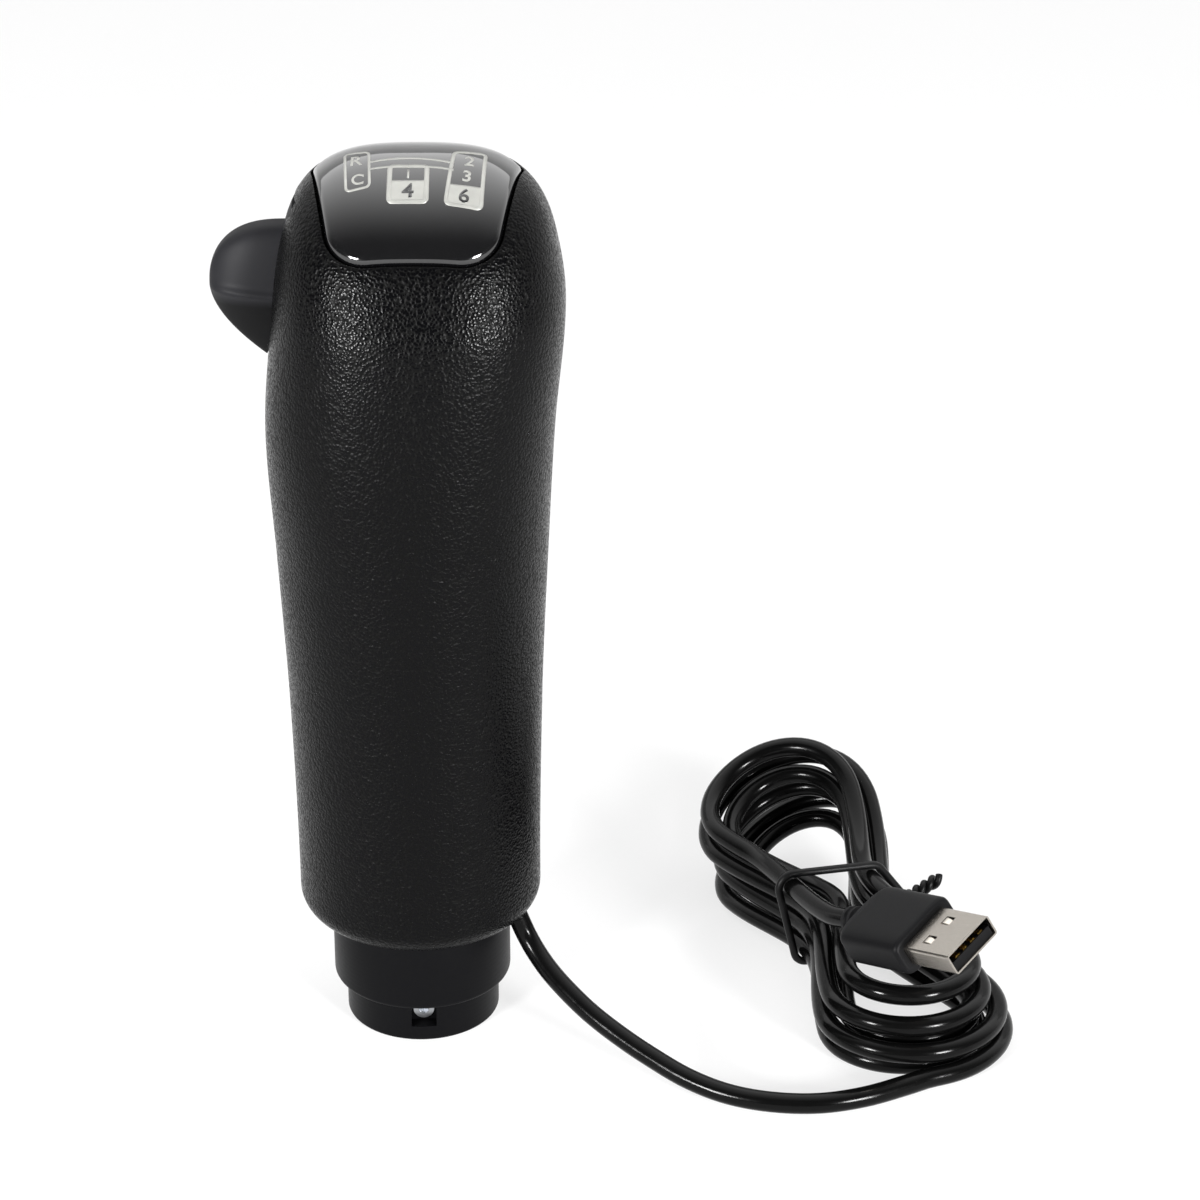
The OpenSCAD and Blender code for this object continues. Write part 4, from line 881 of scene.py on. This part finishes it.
boot = [(0, 2.3, 2.3, 2), (0.3, 2.7, 2.7, 2), (1.2, 2.8, 2.8, 2), (1.5, 2.5, 2.5, 2), (2.1, 2.5, 2.5, 2),
        (2.4, 2.95, 2.95, 2), (3.2, 3.05, 3.05, 2), (3.5, 2.7, 2.7, 2), (4.2, 2.7, 2.7, 2),
        (4.6, 3.1, 3.0, 2.2)]
swell = np.radians(np.linspace(0, 90, 9))
c, s = np.cos(swell), np.sin(swell)
shoulder = np.stack([5 + 2.6 * (1 - c), 3.6 + 4.4 * s, 3.0 + 1.1 * s, 2.4 + 2.6 * s], -1)
barrel = [(x, 8.0, 4.1, 5.0) for x in (9.0, 12.0, 18.0, 22.6)]
nose = np.stack([23.0 + s, 7.2 + 0.8 * c, 3.3 + 0.8 * c, np.full(len(swell), 5.0)], -1)
mouth = [(24.0, 6.05, 2.3, 9.0), (20.1, 6.02, 2.27, 9.0)]
plug_sections = np.vstack([boot, shoulder, barrel, nose, mouth])
plug_mould = closed("plug_mould", plug_place(plug_rings(plug_sections, 96)))

# Soft PVC overmould: black and matt, with a fine grain of about 0.4 mm.
matt_pvc = speckled("moulded_matt_black_pvc", moulded_grain, ("#08080A", "#0C0C0D"), (0.42, 0.55),
                    {"Specular IOR Level": 0.12}, moulded_relief)
coat(matt_pvc, "plug_tongue")
plug_mould.data.materials.append(matt_pvc)
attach(plug_mould, "knob")
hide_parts("plug_body")

# Nickel-plated steel sheet: bright and slightly warm, with rolling lines 0.25 mm apart along the shell.
nickel_sheet, shader = new_material("nickel_plated_sheet")
place = add_node(nickel_sheet, "TexCoord").outputs["Object"]
turned_back = add_node(nickel_sheet, "Mapping", {"Vector": place, "Rotation": (0, 0, -plug_turns[0])})
stretched = add_node(nickel_sheet, "Mapping", {"Vector": turned_back, "Scale": (300.0, 4000.0, 4000.0)})
rolled = add_node(nickel_sheet, "TexNoise", {"Vector": stretched, "Scale": 1.0, "Detail": 3.0}).outputs["Fac"]
tone = add_node(nickel_sheet, "MixRGB",
                {"Fac": rolled, "Color1": linear("#AFA9A0"), "Color2": linear("#C2BCB4")})
dull = add_node(nickel_sheet, "MapRange", {"Value": rolled, "To Min": 0.2, "To Max": 0.3})
lines = add_node(nickel_sheet, "Bump", {"Height": rolled, "Strength": 0.08, "Distance": 0.00004})
feed(shader, {"Metallic": 1.0, "Base Color": tone, "Roughness": dull, "Normal": lines})
coat(nickel_sheet, "plug_shell")


# Contact springs: four leaves left in the shell's windows, each cut free on three sides and bent in.
# They are of the shell's own nickel-plated sheet.
def spring_leaf(y, face):
    """A leaf in a window of one face: 1.7 wide and 2 long, joined at the rear and bent in by 0.55
    times the square of its share of the length."""
    along, across = np.meshgrid(np.linspace(0, 1, 12), np.linspace(-0.85, 0.85, 7), indexing="ij")
    across = across * (1 - 0.25 * along ** 3)
    return np.stack([27.7 + 2.0 * along, y + across, face * (2.1 - 0.55 * along ** 2)], -1)


leaves = np.stack([spring_leaf(y, face) for y in (-2.7, 2.7) for face in (1, -1)])
count, rows, columns_of_leaf = leaves.shape[:3]
leaf_faces = grid_faces(rows, columns_of_leaf, False)
leaf_faces = np.vstack([leaf_faces + rows * columns_of_leaf * k for k in range(count)])
springs = solid("plug_springs", plug_place(leaves.reshape(-1, 3)), leaf_faces.tolist())
thick = springs.modifiers.new("sheet", "SOLIDIFY")
thick.thickness, thick.offset = 0.0003, 0
springs.data.materials.append(nickel_sheet)
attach(springs, "knob")

# Gold flash on brass contacts: a warm metal with cloudy wear of about 0.8 mm.
gold_flash = speckled("gold_flashed_brass", {"Scale": 1200.0, "Detail": 3.0}, ("#C89B45", "#E3BE68"),
                      (0.18, 0.34), {"Metallic": 1.0})
coat(gold_flash, "plug_contacts")


# Lead: the 4 mm black sheathed data lead. It comes out under the grip's rim, falls to the table,
# runs to the hank, goes round it in five and a half turns and ends in the plug that lies on top.
hank_turn = math.radians(-70)
hank_middle = np.array([85, 15])
hank_along = np.array([math.cos(hank_turn), math.sin(hank_turn)])
hank_across = np.array([-hank_along[1], hank_along[0]])


def on_hank(along, across, up):
    """Points at places along the hank and across it, from the middle of its waist, and up."""
    return np.column_stack([hank_middle + along[:, None] * hank_along + across[:, None] * hank_across, up])


def ease(x):
    """A smooth step from 0 to 1: x^2 (3 - 2x), held at its ends."""
    x = np.clip(x, 0, 1)
    return x * x * (3 - 2 * x)


def hank_line(t):
    """The hank at turns t, from its waist. Laid flat, each turn is two straight runs of 51 mm and two
    folds. The fold's radius steps in and out by 4.9 mm a turn, and the layer rises 4.6 mm every turn
    and a half. Then the waist is drawn in, and the far end is fanned and rolled up by 24 degrees."""
    run, outer, drawn, layer_rise, half_up = 25.5, 20.4, 7.35, 4.6, 6.9
    layer = np.maximum(np.floor(t / 1.5), 0)
    f = t / 1.5 - layer
    r = outer - drawn * np.where(layer % 2 == 0, f, 1 - f)
    w = lead_radius + sum(layer_rise * ease((t - 1.5 * j) / 0.3 + 0.5) for j in (1, 2, 3))
    mean = outer - drawn / 2
    arc = math.pi * mean
    s = (t - np.floor(t)) * (4 * run + 2 * arc)
    a, b = (s - run) / mean, (s - 3 * run - arc) / mean
    where = [s < run, s < run + arc, s < 3 * run + arc, s < 3 * run + 2 * arc]
    u = np.select(where, [-s, -run - r * np.sin(a), s - 2 * run - arc, run + r * np.sin(b)],
                  4 * run + 2 * arc - s)
    v = np.select(where, [r, r * np.cos(a), -r, -r * np.cos(b)], r)
    v = v - 10.2 * np.exp(-(u / 21) ** 2) * np.clip(v / 6, -1, 1)
    w = w + 2 * np.exp(-(u / 16) ** 2)
    far = ease((-u - 4) / 44)
    along = u + 2.5 * np.sin(np.radians(10 * w)) * u / 50
    fan, roll = 1 + 0.3 * far, math.radians(24) * far
    h = (w - lead_radius - half_up) * fan
    across = v * np.cos(roll) - h * np.sin(roll)
    lifted = (half_up * fan + lead_radius) * np.cos(roll) + 19 * np.sin(roll)
    return on_hank(along, across, lifted + v * np.sin(roll) + h * np.cos(roll))


hank = hank_line(np.linspace(-0.25, 5.41, 1400))
start_way, end_way = unit(hank[1] - hank[0]), unit(hank[-1] - hank[-2])
lead_route = [lead_exit, [20.8, -7.6, 19.8], [22.8, -9.6, 16.9], [25.6, -12.8, 14.3], [29.2, -16.4, 11.9],
              [33.6, -20.2, 9.4], [39, -24.2, 7], [45, -28.4, 4.9], [52, -33, 3], [59.6, -37, 2.1],
              [68, -39.6, 2], [77, -40, 2], [85.6, -37.8, 2], [93.6, -33.9, 2],
              hank[0] - 4 * start_way, hank[0]]
plug_tip = plug_place(np.array([[0.0, 0, 0], [-4.0, 0, 0], [1.0, 0, 0]]))
plug_way = unit(plug_tip[2] - plug_tip[0])
t = np.linspace(0, 1, 40)[1:, None]
tail = ((2 * t ** 3 - 3 * t ** 2 + 1) * hank[-1] + (t ** 3 - 2 * t ** 2 + t) * 24 * end_way
        + (3 * t ** 2 - 2 * t ** 3) * plug_tip[1] + (t ** 3 - t ** 2) * 24 * plug_way)
route = np.vstack([through(lead_route, 12)[:-1], hank, tail, plug_tip[:1]])
route, walked = evenly(route, 1000)
lead_curve = bpy.data.curves.new("data_lead", "CURVE")
lead_curve.dimensions = "3D"
lead_curve.bevel_depth = lead_radius * 0.001
lead_curve.bevel_resolution = 6
lead_curve.use_fill_caps = True
spline = lead_curve.splines.new("POLY")
spline.points.add(len(route) - 1)
spline.points.foreach_set("co", np.column_stack([route * 0.001, np.ones(len(route))]).ravel())
data_lead = bpy.data.objects.new("data_lead", lead_curve)
scene.collection.objects.link(data_lead)
lead_curve.materials.append(pvc_sheath)
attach(data_lead, "knob")
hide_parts("cable_lead", "cable_hank")

# Tie: a plastic-covered wire drawn tight round the hank's waist, its ends twisted together on the right.
# It lies on the outermost strands, and its twist holds it.
tie_place, tie_radius, tie_count, tie_sides = -1.0, 0.8, 240, 14
flat = route[:, :2] - hank_middle
in_tie = (np.abs(flat @ hank_along - tie_place) < 1.2) & (np.abs(flat @ hank_across) < 20)
strands = np.column_stack([flat @ hank_across, route[:, 2]])[in_tie]


def tie_loop(count):
    """The tie's line in the plane across the hank: for each direction, the strand that reaches furthest
    that way, and from its middle out by the lead's and the wire's radius and 0.15 mm. Then the points
    are spread evenly along the loop, starting at the far right."""
    a = np.linspace(0, 2 * math.pi, 1440, endpoint=False)
    out = np.stack([np.cos(a), np.sin(a)], -1)
    loop = strands[np.argmax(out @ strands.T, 1)] + (lead_radius + tie_radius + 0.15) * out
    return evenly(np.vstack([loop, loop[:1]]), count, False)[0]


tie_line = on_hank(np.full(tie_count, tie_place), *tie_loop(tie_count).T)
tie_way = unit(np.roll(tie_line, -1, 0) - np.roll(tie_line, 1, 0))
tie_axis = np.append(hank_along, 0)
tie_turn = np.linspace(0, 2 * math.pi, tie_sides, endpoint=False)[None, :, None]
tie_round = np.cos(tie_turn) * np.cross(tie_way, tie_axis)[:, None] + np.sin(tie_turn) * tie_axis
tie_points = [(tie_line[:, None] + tie_radius * tie_round).reshape(-1, 3)]
tie_faces = (grid_faces(tie_count + 1, tie_sides, True) % (tie_count * tie_sides))[:, ::-1].tolist()
twist = np.linspace(0, 1, 60)[:, None]
spread = 0.8 + 0.5 * np.clip(twist - 0.85, 0, 1) / 0.15
for side in (0, math.pi):
    turn = 2 * math.pi * 2.2 * twist + side
    path = tie_line[0] + 7.5 * twist * np.append(hank_across, 0.45)
    path += spread * (np.cos(turn) * tie_axis + np.sin(turn) * [0, 0, 1])
    wire, wire_faces = skin(tube(path, 0.72, 12, np.append(hank_along, 0.3)))
    first = sum(len(q) for q in tie_points)
    tie_points.append(wire)
    tie_faces += [[k + first for k in f] for f in wire_faces]
tie = solid("wire_tie", np.vstack(tie_points), tie_faces)

# PVC over a steel wire: black, smoother and duller than the lead, with a faint wrinkle of about 2 mm.
tie_cover = speckled("pvc_covered_wire", {"Scale": 500.0, "Detail": 3.0}, ("#070707", "#0D0D0E"), (0.34, 0.5),
                     {"IOR": 1.52, "Specular IOR Level": 0.16}, relief=(0.2, 0.00008))
tie.data.materials.append(tie_cover)
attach(tie, "knob")
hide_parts("cable_tie")

bpy.context.view_layer.update()
